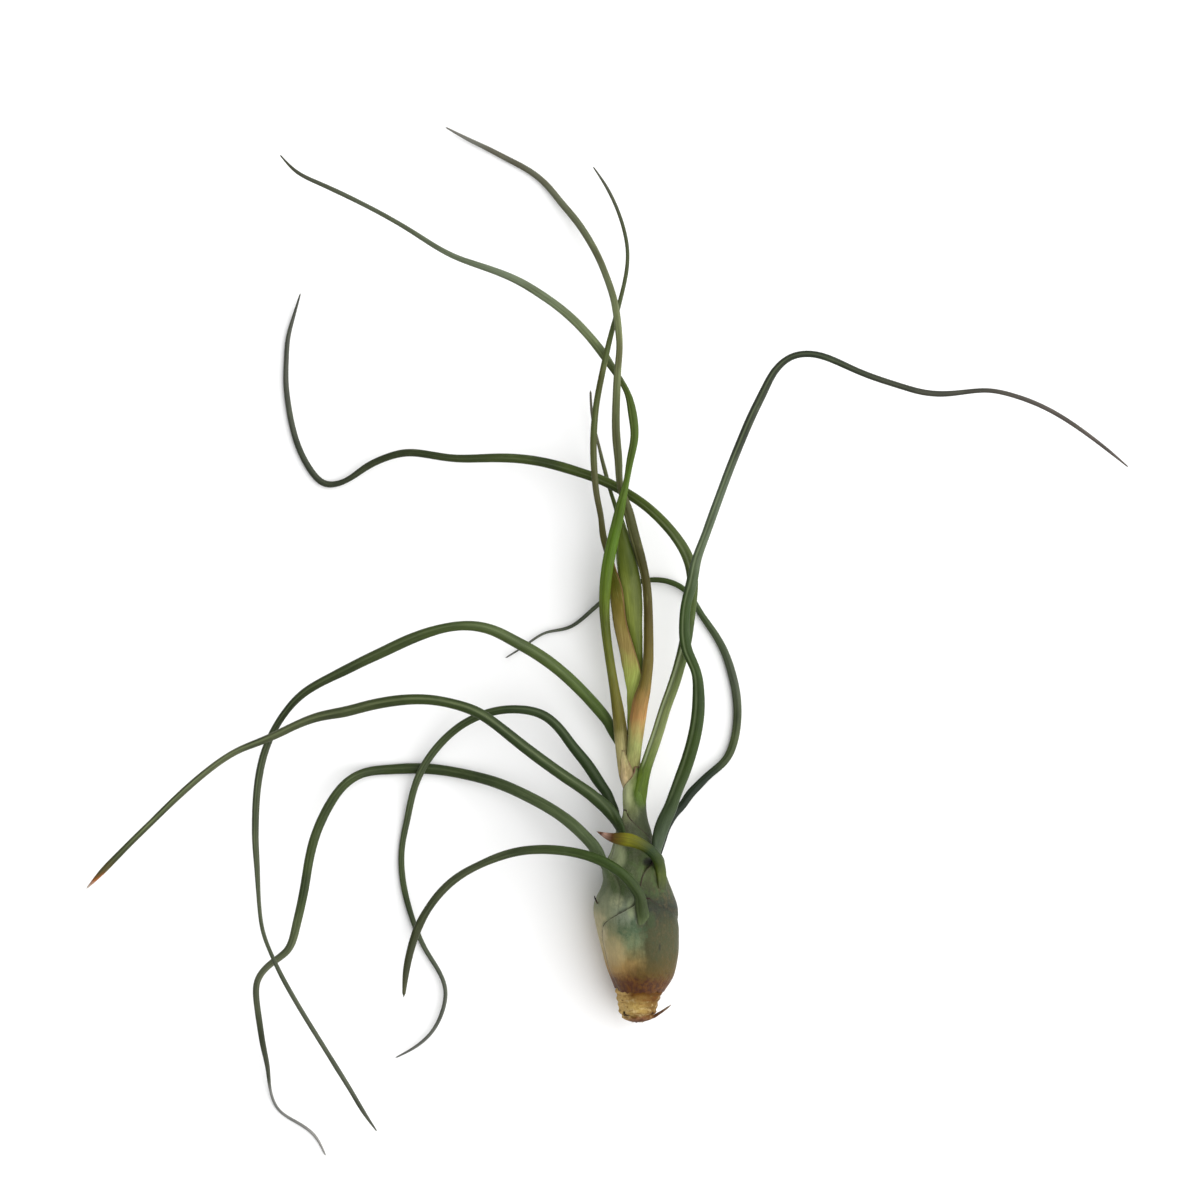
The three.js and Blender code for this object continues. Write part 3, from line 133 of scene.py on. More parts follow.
# Blades from the root to the tip: [x, y, z, width, depth, lean].
BLADES = {
    "L5": [
        [11.54, -78.75, 20.68, 1.61, 0.43, 15], [11.16, -76.98, 21.11, 2.81, 0.76, 15],
        [10.72, -75.18, 21.79, 3.53, 1.19, 15], [10.34, -72.82, 22.84, 3.64, 1.73, 12.92],
        [9.9, -70.49, 23.71, 3.53, 2.21, 8.05], [9.27, -67.42, 24.87, 3.1, 2.47, 0.98],
        [7.96, -65.37, 25.22, 3.02, 2.43, 0], [6.47, -63.48, 25.36, 2.87, 2.36, 0],
        [4.77, -61.79, 25.39, 2.77, 2.3, 0], [1.82, -59.72, 25.23, 2.85, 2.29, 0],
        [-1.37, -58.08, 24.8, 2.84, 2.25, 0], [-4.79, -56.93, 24.16, 2.65, 2.16, 0],
        [-10.61, -55.82, 22.86, 2.55, 2.07, 0], [-16.56, -55.53, 21.42, 2.48, 2, 0],
        [-22.52, -56.1, 19.85, 2.37, 1.9, 0], [-28.32, -57.75, 17.9, 2.26, 1.81, 0],
        [-33.89, -60.21, 15.79, 2.03, 1.69, 0], [-39.17, -63.27, 13.88, 2.15, 1.72, 0],
        [-43.76, -67.3, 12.19, 2.2, 1.74, 0], [-47.51, -72.15, 10.66, 2.14, 1.74, 0],
        [-50.39, -77.54, 9.51, 2.31, 1.78, 0], [-52.32, -83.28, 9.09, 2.1, 1.65, 0],
        [-53.54, -89.16, 9.27, 1.86, 1.41, 0], [-54.14, -95.09, 9.72, 0.95, 0.91, 0],
    ],
    "L6": [
        [15.77, -68.54, 17.55, 2.15, 0.38, 46], [15.69, -66.4, 17.44, 3.22, 0.81, 46],
        [15.55, -63.97, 17.6, 3.49, 1.3, 46], [15.25, -61.55, 17.66, 3.38, 1.67, 38.47],
        [14.7, -59.18, 18.85, 3.17, 2, 21.13], [13.71, -57.22, 20.68, 3, 2.16, 5.74],
        [12.17, -55.63, 21.71, 3, 2.16, 0.31], [10.34, -54.37, 22.19, 3.05, 2.11, 0],
        [8.47, -53.47, 22.41, 3.37, 2.11, 0], [6.7, -52.94, 22.38, 3.64, 2.11, 0],
        [5.07, -52.73, 22.28, 3.58, 2, 0], [3.31, -52.53, 22.03, 3.05, 1.78, 0],
        [1.6, -52.17, 21.79, 2.3, 1.51, 0], [-1.64, -50.86, 21.33, 0.4, 0.47, 0],
    ],
    "L4": [
        [1.85, -65.63, 16.88, 1.34, 0.43, -58], [0.64, -61.67, 15.8, 2.69, 1.08, -58],
        [-0.97, -57.93, 15.39, 3.5, 1.89, -46.77], [-3.26, -54.44, 15.26, 3.34, 2.43, -7.98],
        [-5.32, -52.31, 14.23, 3.22, 2.65, 0], [-7.05, -50.63, 13.69, 3.26, 2.63, 0],
        [-8.87, -49.06, 13.02, 3.24, 2.59, 0], [-11.78, -46.89, 11.92, 3.14, 2.52, 0],
        [-14.87, -44.96, 10.89, 3.1, 2.49, 0], [-18.07, -43.21, 9.86, 3.07, 2.46, 0],
        [-23.5, -40.61, 7.94, 3.04, 2.43, 0], [-29.14, -38.4, 5.65, 3.07, 2.41, 0],
        [-35.02, -36.83, 3.4, 2.89, 2.32, 0], [-41, -35.64, 1.83, 2.86, 2.28, 0],
        [-47.03, -34.85, 1.31, 2.91, 2.29, 0], [-53.11, -34.7, 1.14, 2.91, 2.26, 0],
        [-59.17, -35.01, 1.17, 2.68, 2.13, 0], [-65.11, -35.76, 2.35, 2.48, 2, 0],
        [-70.14, -38.58, 5.5, 2.45, 1.96, 0], [-73.67, -43.09, 9.29, 2.49, 1.99, 0],
        [-76.29, -48.23, 12.4, 2.55, 2.03, 0], [-78.25, -53.72, 14.67, 2.56, 2.04, 0],
        [-79.5, -59.47, 16.06, 2.47, 2, 0], [-80.42, -65.34, 16.69, 2.47, 1.98, 0],
        [-81.58, -71.21, 16.68, 2.43, 1.94, 0], [-82.96, -77.07, 16.32, 2.33, 1.84, 0],
        [-85.03, -82.73, 15.74, 2.07, 1.67, 0], [-89.6, -86.58, 15.17, 1.85, 1.51, 0],
        [-93.26, -91.1, 14.75, 1.77, 1.43, 0], [-93.68, -97.2, 13.45, 1.72, 1.38, 0],
        [-93.08, -103.41, 10.91, 1.72, 1.34, 0], [-92.39, -109.72, 7.66, 1.58, 1.22, 0],
        [-91.49, -116.04, 4.16, 1.27, 0.99, 0], [-90.96, -122.37, 1.37, 0.81, 0.71, 0],
        [-88.8, -127.79, 0.33, 0.76, 0.63, 0], [-83.83, -131.29, 0.33, 0.82, 0.63, 0],
        [-78.97, -134.94, 0.32, 0.8, 0.6, 0], [-76.15, -139.94, 0.32, 0.41, 0.4, 0],
    ],
    "L9": [
        [14.07, -61.9, 8.37, 1.35, 0.54, -60], [14.61, -58.4, 7.97, 2.17, 1.08, -60],
        [15.57, -54.38, 7.29, 2.58, 1.62, -39.31], [16.63, -50.7, 6.48, 2.62, 1.91, -3.94],
        [17.71, -48.54, 5.97, 2.72, 1.95, 0], [19.15, -46.59, 5.43, 2.58, 1.89, 0],
        [20.91, -44.92, 4.86, 2.29, 1.77, 0], [23.13, -41.89, 4.02, 2.4, 1.78, 0],
        [25.71, -39.13, 3.23, 2.36, 1.73, 0], [28.42, -36.51, 2.53, 2.18, 1.65, 0],
        [33.06, -32.37, 1.62, 2.17, 1.63, 0], [35.54, -26.73, 1.18, 2.25, 1.66, 0],
        [36.36, -20.56, 1.03, 2.27, 1.69, 0], [36.03, -14.35, 1, 2.33, 1.71, 0],
        [34.7, -8.27, 0.97, 2.27, 1.66, 0], [32.63, -2.39, 0.97, 2.1, 1.55, 0], [29.5, 3, 1.01, 1.93, 1.43, 0],
        [25.99, 8.15, 1.08, 1.73, 1.3, 0], [22.61, 13.38, 1.29, 1.57, 1.19, 0],
        [17.24, 16.34, 1.62, 1.54, 1.13, 0], [11.05, 16.5, 1.62, 1.38, 1.03, 0],
        [5.18, 14.48, 1.52, 1.22, 0.93, 0], [-0.11, 11.2, 1.28, 1.19, 0.88, 0],
        [-4.81, 7.11, 1.09, 1.13, 0.82, 0], [-9.9, 3.65, 1.08, 0.97, 0.71, 0],
        [-15.9, 2.31, 1.16, 0.72, 0.56, 0], [-21.21, -0.95, 1.29, 0.63, 0.45, 0],
        [-26.45, -4.29, 1.62, 0.41, 0.3, 0],
    ],
    "L8": [
        [13.88, -61.01, 13.64, 1.89, 0.54, 62], [14.09, -57.99, 14.45, 2.96, 1.19, 54],
        [14.45, -54.43, 15.39, 3.88, 2.16, 40], [15.3, -50.62, 16.2, 4.09, 2.7, 22],
        [16.64, -47.09, 16.74, 3.87, 2.81, 8], [17.78, -44.6, 17.13, 3.72, 2.82, 0],
        [18.57, -42.28, 17.91, 3.53, 2.74, 0], [19.82, -38.73, 19.08, 3.51, 2.71, 0],
        [21.14, -35.21, 20.17, 3.67, 2.75, 0], [22.36, -31.67, 21.16, 3.63, 2.73, 0],
        [23.97, -25.76, 22.64, 3.61, 2.72, 0], [24.98, -19.73, 23.78, 3.55, 2.64, 0],
        [25.17, -13.64, 24.57, 3.22, 2.42, 0], [24.41, -7.61, 24.9, 2.71, 2.17, 0],
        [22.1, -2.02, 24.73, 2.88, 2.18, 0], [21.38, 3.98, 24.36, 2.9, 2.18, 0],
        [21.88, 10.02, 23.75, 2.77, 2.15, 0], [23.37, 15.91, 23.76, 3, 2.19, 0],
        [24.64, 21.81, 23.72, 2.64, 2.01, 0], [26.67, 27.54, 24.12, 2.39, 1.85, 0],
        [28.72, 33.24, 24.82, 2.38, 1.8, 0], [30.78, 38.93, 25.56, 2.34, 1.78, 0],
        [32.86, 44.6, 26.29, 2.3, 1.76, 0], [35.05, 50.22, 27, 2.32, 1.77, 0],
        [37.33, 55.8, 27.69, 2.34, 1.77, 0], [39.76, 61.31, 28.33, 2.34, 1.76, 0],
        [42.41, 66.72, 28.92, 2.23, 1.67, 0], [45.28, 71.99, 29.52, 1.98, 1.51, 0],
        [49.81, 75.82, 30.08, 1.77, 1.39, 0], [55.73, 76.45, 30.31, 1.78, 1.36, 0],
        [61.49, 74.66, 30.1, 1.8, 1.35, 0], [67.02, 72.18, 29.76, 1.68, 1.29, 0],
        [72.68, 70.02, 29.44, 1.66, 1.26, 0], [78.46, 68.18, 29.17, 1.6, 1.23, 0],
        [84.31, 66.57, 28.87, 1.63, 1.22, 0], [90.37, 66.06, 28.4, 1.56, 1.16, 0],
        [96.42, 66.63, 28.04, 1.33, 1.04, 0], [102.45, 66.95, 28.09, 1.26, 0.98, 0],
        [108.38, 65.78, 28.08, 1.26, 0.96, 0], [114.1, 63.8, 28.08, 1.27, 0.96, 0],
        [119.56, 61.18, 28.08, 1.23, 0.93, 0], [124.72, 58, 28.08, 1.17, 0.88, 0],
        [129.65, 54.48, 28.08, 1.06, 0.79, 0], [134.43, 50.76, 28.08, 0.87, 0.63, 0],
        [139.08, 46.89, 28.08, 0.4, 0.34, 0],
    ],
    "L2": [
        [6.06, -56.1, 14.58, 1.35, 0.54, -47], [5.03, -52.28, 15.26, 2.58, 1.13, -47],
        [3.47, -48.48, 15.93, 3.6, 2.05, -42.96], [1.18, -45.21, 16.74, 3.66, 2.7, -14.54],
        [-1.84, -42.42, 17.29, 3.43, 2.8, 0], [-3.72, -40.87, 17.83, 3.26, 2.69, 0],
        [-5.68, -39.42, 18.42, 3.16, 2.61, 0], [-8.73, -37.32, 19.35, 3.11, 2.54, 0],
        [-11.77, -35.2, 20.25, 3.11, 2.51, 0], [-14.77, -33.02, 21.15, 3.12, 2.51, 0],
        [-19.62, -29.38, 22.49, 3.08, 2.47, 0], [-24.35, -25.61, 23.59, 2.97, 2.41, 0],
        [-29.06, -21.84, 24.55, 2.85, 2.33, 0], [-34.1, -18.58, 25.23, 2.89, 2.31, 0],
        [-39.77, -16.58, 25.58, 2.66, 2.2, 0], [-45.67, -15.43, 25.86, 2.7, 2.2, 0],
        [-51.69, -15.26, 25.84, 2.8, 2.27, 0], [-57.73, -15.92, 24.96, 2.91, 2.33, 0],
        [-63.73, -17.18, 23.34, 2.88, 2.32, 0], [-69.7, -18.71, 21.55, 2.86, 2.26, 0],
        [-75.76, -19.87, 19.9, 2.56, 2.06, 0], [-81.6, -21.87, 18.33, 2.26, 1.86, 0],
        [-87.22, -24.52, 16.65, 2.18, 1.74, 0], [-92.92, -26.98, 15.24, 2, 1.6, 0],
        [-98.63, -29.33, 14.31, 1.78, 1.46, 0], [-103.88, -32.52, 13.76, 1.74, 1.42, 0],
        [-108.72, -36.26, 13.52, 1.8, 1.43, 0], [-113.32, -40.28, 13.43, 1.8, 1.43, 0],
        [-117.76, -44.45, 13.42, 1.72, 1.38, 0], [-122.1, -48.72, 13.49, 1.66, 1.34, 0],
        [-126.45, -52.96, 13.63, 1.65, 1.33, 0], [-130.72, -57.28, 13.85, 1.7, 1.35, 0],
        [-134.93, -61.62, 14.17, 1.71, 1.25, 0], [-139.02, -66.06, 14.58, 0.54, 0.62, 0],
    ],
    "L3": [
        [4.37, -53.72, 9.49, 1.35, 0.41, 65], [4.19, -50.47, 9.45, 3.39, 0.57, 65],
        [3.32, -48.22, 8.97, 3.45, 1.15, 52.47], [2.48, -45.95, 8.61, 3.41, 2.17, 26.44],
        [1.68, -43.66, 8.43, 3.06, 2.49, 4.26], [0.87, -41.37, 8.34, 2.73, 2.34, 0],
        [-0.47, -39.34, 8.31, 2.88, 2.38, 0], [-1.86, -37.33, 8.46, 3.12, 2.45, 0],
        [-3.85, -34.24, 8.97, 3.11, 2.41, 0], [-6.06, -31.31, 9.49, 2.98, 2.34, 0],
        [-8.37, -28.46, 9.93, 2.8, 2.25, 0], [-11.98, -23.65, 10.5, 2.63, 2.11, 0],
        [-16.52, -19.84, 10.84, 2.52, 2, 0], [-22.3, -18.36, 11.33, 2.32, 1.87, 0],
        [-28.28, -18.58, 10.88, 2.24, 1.79, 0], [-34.09, -20.27, 9.09, 2.14, 1.72, 0],
        [-39.43, -23.24, 6.7, 2.11, 1.69, 0], [-44.01, -27.28, 4.9, 2.14, 1.69, 0],
        [-47.81, -32.01, 4.17, 2.11, 1.66, 0], [-50.71, -37.35, 3.36, 2, 1.58, 0],
        [-52.54, -43.17, 2.04, 1.86, 1.48, 0], [-53.8, -49.15, 1.16, 1.77, 1.4, 0],
        [-54.97, -55.1, 0.85, 1.67, 1.34, 0], [-55.25, -61.14, 0.87, 1.65, 1.31, 0],
        [-54.56, -67.15, 0.86, 1.69, 1.31, 0], [-53.12, -73.03, 0.86, 1.58, 1.24, 0],
        [-51.16, -78.75, 0.9, 1.41, 1.13, 0], [-48.61, -84.23, 0.99, 1.29, 1.03, 0],
        [-45.42, -89.35, 1.26, 1.21, 0.96, 0], [-43.28, -94.9, 1.61, 1.13, 0.9, 0],
        [-44.08, -100.86, 1.62, 1.09, 0.86, 0], [-46.78, -106.24, 1.62, 0.99, 0.78, 0],
        [-51.16, -110.37, 1.61, 0.85, 0.64, 0], [-56.42, -113.29, 1.89, 0.41, 0.31, 0],
    ],
    "L1": [
        [7.09, -33.61, 8.2, 1.35, 0.41, 20], [6.52, -30.37, 7.88, 2.4, 0.57, 20],
        [4.88, -28.6, 7.38, 2.41, 0.96, 16.14], [3.53, -26.57, 7.02, 2.39, 1.68, 8.13],
        [2.29, -24.47, 7.12, 2.52, 2.09, 1.31], [1.3, -22.23, 7.56, 2.88, 2.27, 0],
        [-0.04, -20.18, 8.26, 3.14, 2.41, 0], [-1.6, -18.27, 9.23, 3.2, 2.48, 0],
        [-4.09, -15.41, 11.21, 3.22, 2.55, 0], [-6.69, -12.65, 13.14, 3.25, 2.6, 0],
        [-9.37, -10.01, 14.86, 3.25, 2.61, 0], [-14.05, -6.01, 17.47, 3.29, 2.64, 0],
        [-19.08, -2.52, 19.97, 3.29, 2.62, 0], [-24.38, 0.49, 22.37, 3.1, 2.5, 0],
        [-29.81, 3.19, 24.48, 2.88, 2.33, 0], [-35.73, 4.38, 25.65, 2.65, 2.17, 0],
        [-41.8, 3.92, 25.37, 2.5, 2.09, 0], [-47.72, 2.32, 24.46, 2.73, 2.21, 0],
        [-53.44, 0.06, 23.42, 2.96, 2.35, 0], [-59.02, -2.57, 22.33, 2.92, 2.34, 0],
        [-64.62, -5.2, 21.12, 2.8, 2.24, 0], [-70.18, -7.96, 19.68, 2.59, 2.08, 0],
        [-75.78, -10.74, 17.93, 2.32, 1.89, 0], [-81.13, -14.06, 15.75, 2.19, 1.75, 0],
        [-85.58, -18.54, 13.29, 1.95, 1.59, 0], [-89.06, -23.75, 11.75, 1.91, 1.56, 0],
        [-91.51, -29.38, 11.99, 2.04, 1.61, 0], [-92.89, -35.3, 13.41, 2.08, 1.64, 0],
        [-93.59, -41.35, 14.65, 2.01, 1.61, 0], [-93.83, -47.45, 15.5, 1.93, 1.55, 0],
        [-93.78, -53.56, 16.23, 1.83, 1.45, 0], [-93.35, -59.64, 17.02, 1.61, 1.27, 0],
        [-92.96, -65.73, 17.74, 1.28, 1.06, 0], [-92.49, -71.81, 18.33, 1.09, 0.92, 0],
        [-91.48, -77.81, 19, 1.1, 0.89, 0], [-89.32, -83.5, 19.65, 1.09, 0.9, 0],
        [-86.75, -89.07, 19.44, 1.24, 0.99, 0], [-83.9, -94.56, 18.27, 1.31, 1.04, 0],
        [-80.88, -99.99, 16.94, 1.3, 1.04, 0], [-77.73, -105.33, 15.85, 1.3, 1.05, 0],
        [-74.53, -110.64, 15.05, 1.29, 1.04, 0], [-71.33, -115.95, 14.39, 1.31, 1.04, 0],
        [-68.13, -121.27, 13.72, 1.25, 0.99, 0], [-65.03, -126.66, 12.96, 1.13, 0.85, 0],
        [-61.58, -131.84, 12.15, 0.4, 0.37, 0],
    ],
    "L7": [
        [9.57, -46.18, 13.66, 2.16, 0.32, 24], [9.68, -43.47, 13.88, 3.4, 0.59, 24],
        [9.89, -40.77, 13.99, 3.77, 1.08, 22], [10.32, -37.81, 13.99, 3.61, 1.62, 16],
        [11.03, -34.58, 13.82, 3.4, 2.05, 8], [12.11, -31.22, 13.45, 3.24, 2.32, 2],
        [13.3, -27.87, 12.96, 3.24, 2.48, 0], [14.82, -23.31, 12.15, 3.19, 2.48, 0],
        [16.4, -18.2, 11.34, 3.13, 2.48, 0], [18.73, -11.77, 10.81, 3.23, 2.56, 0],
        [20.47, -5.98, 10.98, 3.19, 2.57, 0], [21.91, -0.13, 11.73, 3.33, 2.62, 0],
        [22.86, 5.83, 13.2, 3.19, 2.53, 0], [23.63, 11.81, 15.31, 2.91, 2.4, 0],
        [23.68, 17.81, 17.02, 2.99, 2.39, 0], [22.07, 23.55, 18.48, 2.98, 2.36, 0],
        [18.89, 28.62, 18.61, 2.76, 2.24, 0], [14.93, 33.15, 16.75, 2.67, 2.16, 0],
        [10.44, 37.17, 14.29, 2.63, 2.13, 0], [5.41, 40.51, 12, 2.68, 2.14, 0],
        [0.05, 43.33, 11.04, 2.71, 2.15, 0], [-5.62, 45.42, 10.7, 2.61, 2.11, 0],
        [-11.4, 47.23, 10.3, 2.69, 2.12, 0], [-17.28, 48.67, 9.89, 2.59, 2.07, 0],
        [-23.28, 49.49, 9.55, 2.51, 1.99, 0], [-29.34, 49.71, 9.26, 2.38, 1.9, 0],
        [-35.41, 49.55, 8.92, 2.23, 1.79, 0], [-41.48, 49.71, 8.39, 2.09, 1.69, 0],
        [-47.51, 50.64, 7.5, 2.07, 1.65, 0], [-53.61, 51.21, 5.95, 2.06, 1.62, 0],
        [-59.59, 49.86, 4.18, 1.94, 1.54, 0], [-65.12, 47.22, 2.68, 1.86, 1.45, 0],
        [-70.26, 43.88, 1.62, 1.52, 1.29, 0], [-76.07, 42.99, 0.94, 1.74, 1.36, 0],
        [-80.39, 47.2, 0.89, 1.74, 1.36, 0], [-83.18, 52.62, 0.87, 1.66, 1.32, 0],
        [-84.99, 58.44, 0.86, 1.63, 1.29, 0], [-86.11, 64.44, 0.87, 1.58, 1.24, 0],
        [-86.75, 70.5, 0.87, 1.47, 1.16, 0], [-86.67, 76.61, 0.82, 1.36, 1.07, 0],
        [-86.18, 82.68, 0.85, 1.23, 0.95, 0], [-84.66, 88.57, 1.14, 0.92, 0.71, 0],
        [-82.88, 94.38, 1.62, 0.41, 0.37, 0],
    ],
    "L10": [
        [6, -44.43, 10.94, 1.08, 0.43, -90], [5.76, -40.65, 10.94, 2.3, 0.7, -80.36],
        [5.44, -36.05, 10.96, 3.11, 1.46, -22.78], [5.08, -31.18, 11.02, 3.51, 2.16, 0],
        [4.54, -25.24, 11.07, 3.68, 2.54, 0], [3.81, -19.01, 11.34, 3.3, 2.43, 0],
        [2.84, -13.06, 11.61, 2.7, 2.16, 0], [1.87, -7.12, 11.88, 2.48, 1.89, 0],
        [1.05, -1.71, 12.29, 2.48, 1.89, 0], [0.41, 3.69, 12.96, 2.59, 1.94, 0],
        [0.08, 8.55, 14.18, 2.8, 2, 0], [0.19, 13.4, 15.8, 3.07, 2.11, 0], [0.62, 18.23, 16.74, 3.23, 2.21, 0],
        [1.42, 23.07, 17.42, 3.28, 2.21, 0], [2.47, 27.89, 17.96, 3.11, 2.16, 0],
        [3.62, 32.71, 18.63, 2.95, 2.05, 0], [4.47, 36.71, 19.71, 2.57, 1.89, 0],
        [6, 43.17, 20.72, 1.66, 1.27, 0], [7.04, 49.05, 22.55, 2.02, 1.38, 0],
        [8.09, 54.92, 23.89, 2.17, 1.48, 0], [7.57, 60.92, 23.44, 2.41, 1.53, 0],
        [6.14, 66.84, 21.82, 1.69, 1.27, 0], [3.11, 72.06, 20.59, 1.76, 1.3, 0],
        [-0.23, 77.09, 20.62, 2.44, 1.56, 0], [-3.97, 81.76, 21.66, 2.34, 1.59, 0],
        [-8.11, 86.06, 22.71, 2.31, 1.59, 0], [-12.69, 89.91, 23.42, 2.25, 1.55, 0],
        [-17.63, 93.31, 23.95, 2.24, 1.52, 0], [-22.8, 96.35, 24.31, 2.12, 1.44, 0],
        [-28.32, 98.75, 24.37, 1.91, 1.32, 0], [-34.01, 100.76, 24.06, 1.74, 1.19, 0],
        [-39.68, 102.87, 23.54, 1.53, 1.06, 0], [-45.05, 105.72, 22.83, 1.4, 0.97, 0],
        [-50.17, 109.03, 21.97, 1.33, 0.91, 0], [-55.35, 112.24, 21.27, 1.24, 0.86, 0],
        [-60.65, 115.23, 20.73, 1.24, 0.86, 0], [-66.05, 118.05, 20.2, 1.25, 0.86, 0],
        [-71.54, 120.75, 19.5, 1.27, 0.85, 0], [-77.09, 123.32, 18.79, 1.15, 0.77, 0],
        [-82.5, 126.18, 18.15, 0.96, 0.62, 0], [-86.82, 130.54, 17.28, 0.4, 0.32, 0],
    ],
    "L11": [
        [7.94, -40.61, 11.61, 1.35, 0.43, 15], [7.81, -37.36, 11.88, 2.43, 0.81, 14.92],
        [7.8, -34.1, 12.42, 3.51, 1.49, 9.88], [7.96, -31.11, 12.96, 3.83, 2.03, 3.02],
        [8.25, -27.85, 13.5, 3.94, 2.43, 0.06], [8.76, -22.98, 14.18, 4.31, 2.7, 0],
        [9.32, -18.92, 14.58, 4.39, 2.7, 0], [9.91, -15.68, 14.85, 4.23, 2.59, 0],
        [10.72, -12.72, 14.99, 3.66, 2.32, 0], [11.42, -9.22, 14.85, 3.02, 2.05, 0],
        [11.8, -5.99, 14.58, 2.88, 1.89, 0], [11.94, -2.23, 14.31, 2.75, 1.78, 0],
        [11.96, 1.81, 14.18, 2.64, 1.67, 0], [11.91, 6.39, 14.18, 2.48, 1.57, 0],
        [11.75, 11.24, 14.31, 2.42, 1.51, 0], [11.4, 15.29, 14.45, 2.37, 1.51, 0],
        [10.67, 19.32, 14.72, 2.4, 1.51, 0], [9.64, 23.36, 14.99, 2.64, 1.57, 0],
        [8.5, 27.39, 15.39, 2.75, 1.62, 0], [7.42, 31.42, 15.8, 2.8, 1.62, 0],
        [6.53, 34.91, 16.2, 2.69, 1.57, 0], [4.28, 42.29, 16.7, 1.81, 1.23, 0],
        [3.86, 48.4, 17.69, 2.11, 1.31, 0], [3.31, 54.49, 18.67, 2.23, 1.36, 0],
        [3.13, 60.57, 20.15, 2.15, 1.34, 0], [3.31, 66.54, 23.38, 2.09, 1.3, 0],
        [3.62, 72.56, 25.01, 1.93, 1.21, 0], [4.09, 78.65, 25.06, 1.76, 1.15, 0],
        [3.67, 84.82, 23.8, 1.92, 1.19, 0], [2.75, 91.11, 20.36, 1.93, 1.19, 0],
        [0.96, 97.38, 15.21, 1.84, 1.16, 0], [-1.35, 103.53, 10.16, 1.88, 1.16, 0],
        [-4.29, 109.34, 6.15, 1.94, 1.19, 0], [-7.81, 114.74, 3.43, 1.93, 1.18, 0],
        [-11.81, 119.69, 1.84, 1.88, 1.14, 0], [-15.83, 124.56, 1.1, 1.73, 1.06, 0],
        [-20.68, 128.47, 0.86, 1.62, 1, 0], [-26.18, 131.45, 0.84, 1.52, 0.92, 0],
        [-31.71, 134.32, 0.95, 1.35, 0.81, 0], [-37.33, 137.01, 1.28, 1.04, 0.61, 0],
        [-42.8, 139.87, 1.89, 0.41, 0.3, 0],
    ],
    "L12": [
        [1.22, 23.12, 12.42, 1.89, 1.24, 0], [0.68, 25.28, 12.42, 1.94, 1.24, 0],
        [-0.03, 27.7, 12.69, 1.89, 1.08, 0], [-0.77, 33.15, 11.12, 1.62, 0.84, 0],
        [-1.9, 39.09, 14.12, 1.69, 0.85, 0], [-2.56, 45.08, 16.81, 1.77, 0.88, 0],
        [-2.86, 51.09, 18.78, 1.79, 0.9, 0], [-2.71, 57.09, 20.72, 1.8, 0.9, 0],
        [-2.14, 63.03, 22.77, 1.69, 0.86, 0], [-1.1, 68.91, 24.54, 1.67, 0.84, 0],
        [0.15, 74.77, 25.56, 1.6, 0.8, 0], [1.5, 80.79, 23.6, 1.45, 0.73, 0],
        [3.07, 86.94, 19.46, 1.31, 0.66, 0], [4.62, 93.06, 16.23, 1.15, 0.59, 0],
        [5.93, 99.16, 14.56, 1.1, 0.55, 0], [6.31, 105.31, 13.74, 1.02, 0.52, 0],
        [5.29, 111.37, 13.29, 1, 0.5, 0], [3.33, 117.19, 12.93, 0.95, 0.47, 0],
        [0.63, 122.68, 12.96, 0.85, 0.4, 0], [-2.72, 127.78, 12.96, 0.4, 0.3, 0],
    ],
    "L13": [
        [4.31, 28.83, 9.99, 1.08, 0.88, 0], [4.02, 31.25, 9.7, 1.2, 0.93, 0],
        [3.69, 33.67, 9.41, 1.23, 0.94, 0], [3.22, 36.06, 9.12, 1.21, 0.93, 0],
        [2.49, 38.39, 8.84, 1.09, 0.89, 0], [1.74, 40.72, 8.61, 1.04, 0.86, 0],
        [1.08, 43.07, 8.47, 1.09, 0.87, 0], [0.29, 46.09, 8.37, 1.13, 0.86, 0],
        [-0.51, 49.12, 8.35, 1.03, 0.8, 0], [-1.22, 52.16, 8.37, 0.88, 0.72, 0],
        [-2.47, 57.14, 8.37, 0.83, 0.66, 0], [-3.34, 62.2, 8.37, 0.74, 0.59, 0],
        [-3.66, 67.32, 8.37, 0.6, 0.51, 0],
    ],
}

# Woody base and flower stalk: [x, y, z, width, depth].
STEM = [
    [8.78, -102.72, 9.18, 4.87, 4.86], [9.05, -102.04, 9.18, 8.39, 8.37], [8.91, -100.27, 9.32, 9.85, 9.83],
    [9.12, -98.09, 9.5, 10.72, 10.69], [9.29, -96.44, 9.72, 11.31, 11.29], [9.5, -94.53, 9.94, 12.55, 12.53],
    [9.66, -93.84, 10.04, 10.6, 10.58], [9.82, -93.02, 10.15, 8.87, 8.86], [10.04, -90.97, 10.37, 8.22, 8.21],
    [10.03, -88.79, 10.58, 8, 7.99], [9.92, -86.34, 10.75, 7.35, 7.34], [9.65, -82.81, 10.96, 6.05, 6.05],
    [9.11, -77.93, 11.12, 4.86, 4.86], [8.35, -69.82, 11.18, 3.78, 3.78], [8.41, -61.7, 11.31, 3.24, 3.24],
    [8.32, -53.59, 11.34, 2.92, 2.92], [8.19, -42.79, 11.26, 2.7, 2.7], [8.16, -38.74, 11.21, 2.27, 2.27],
    [8.14, -33.34, 11.15, 2.16, 2.16], [8.08, -27.94, 11.12, 2.16, 2.16], [8.03, -23.35, 11.07, 2.16, 2.16],
    [7.98, -20.1, 11.07, 1.41, 1.4],
]
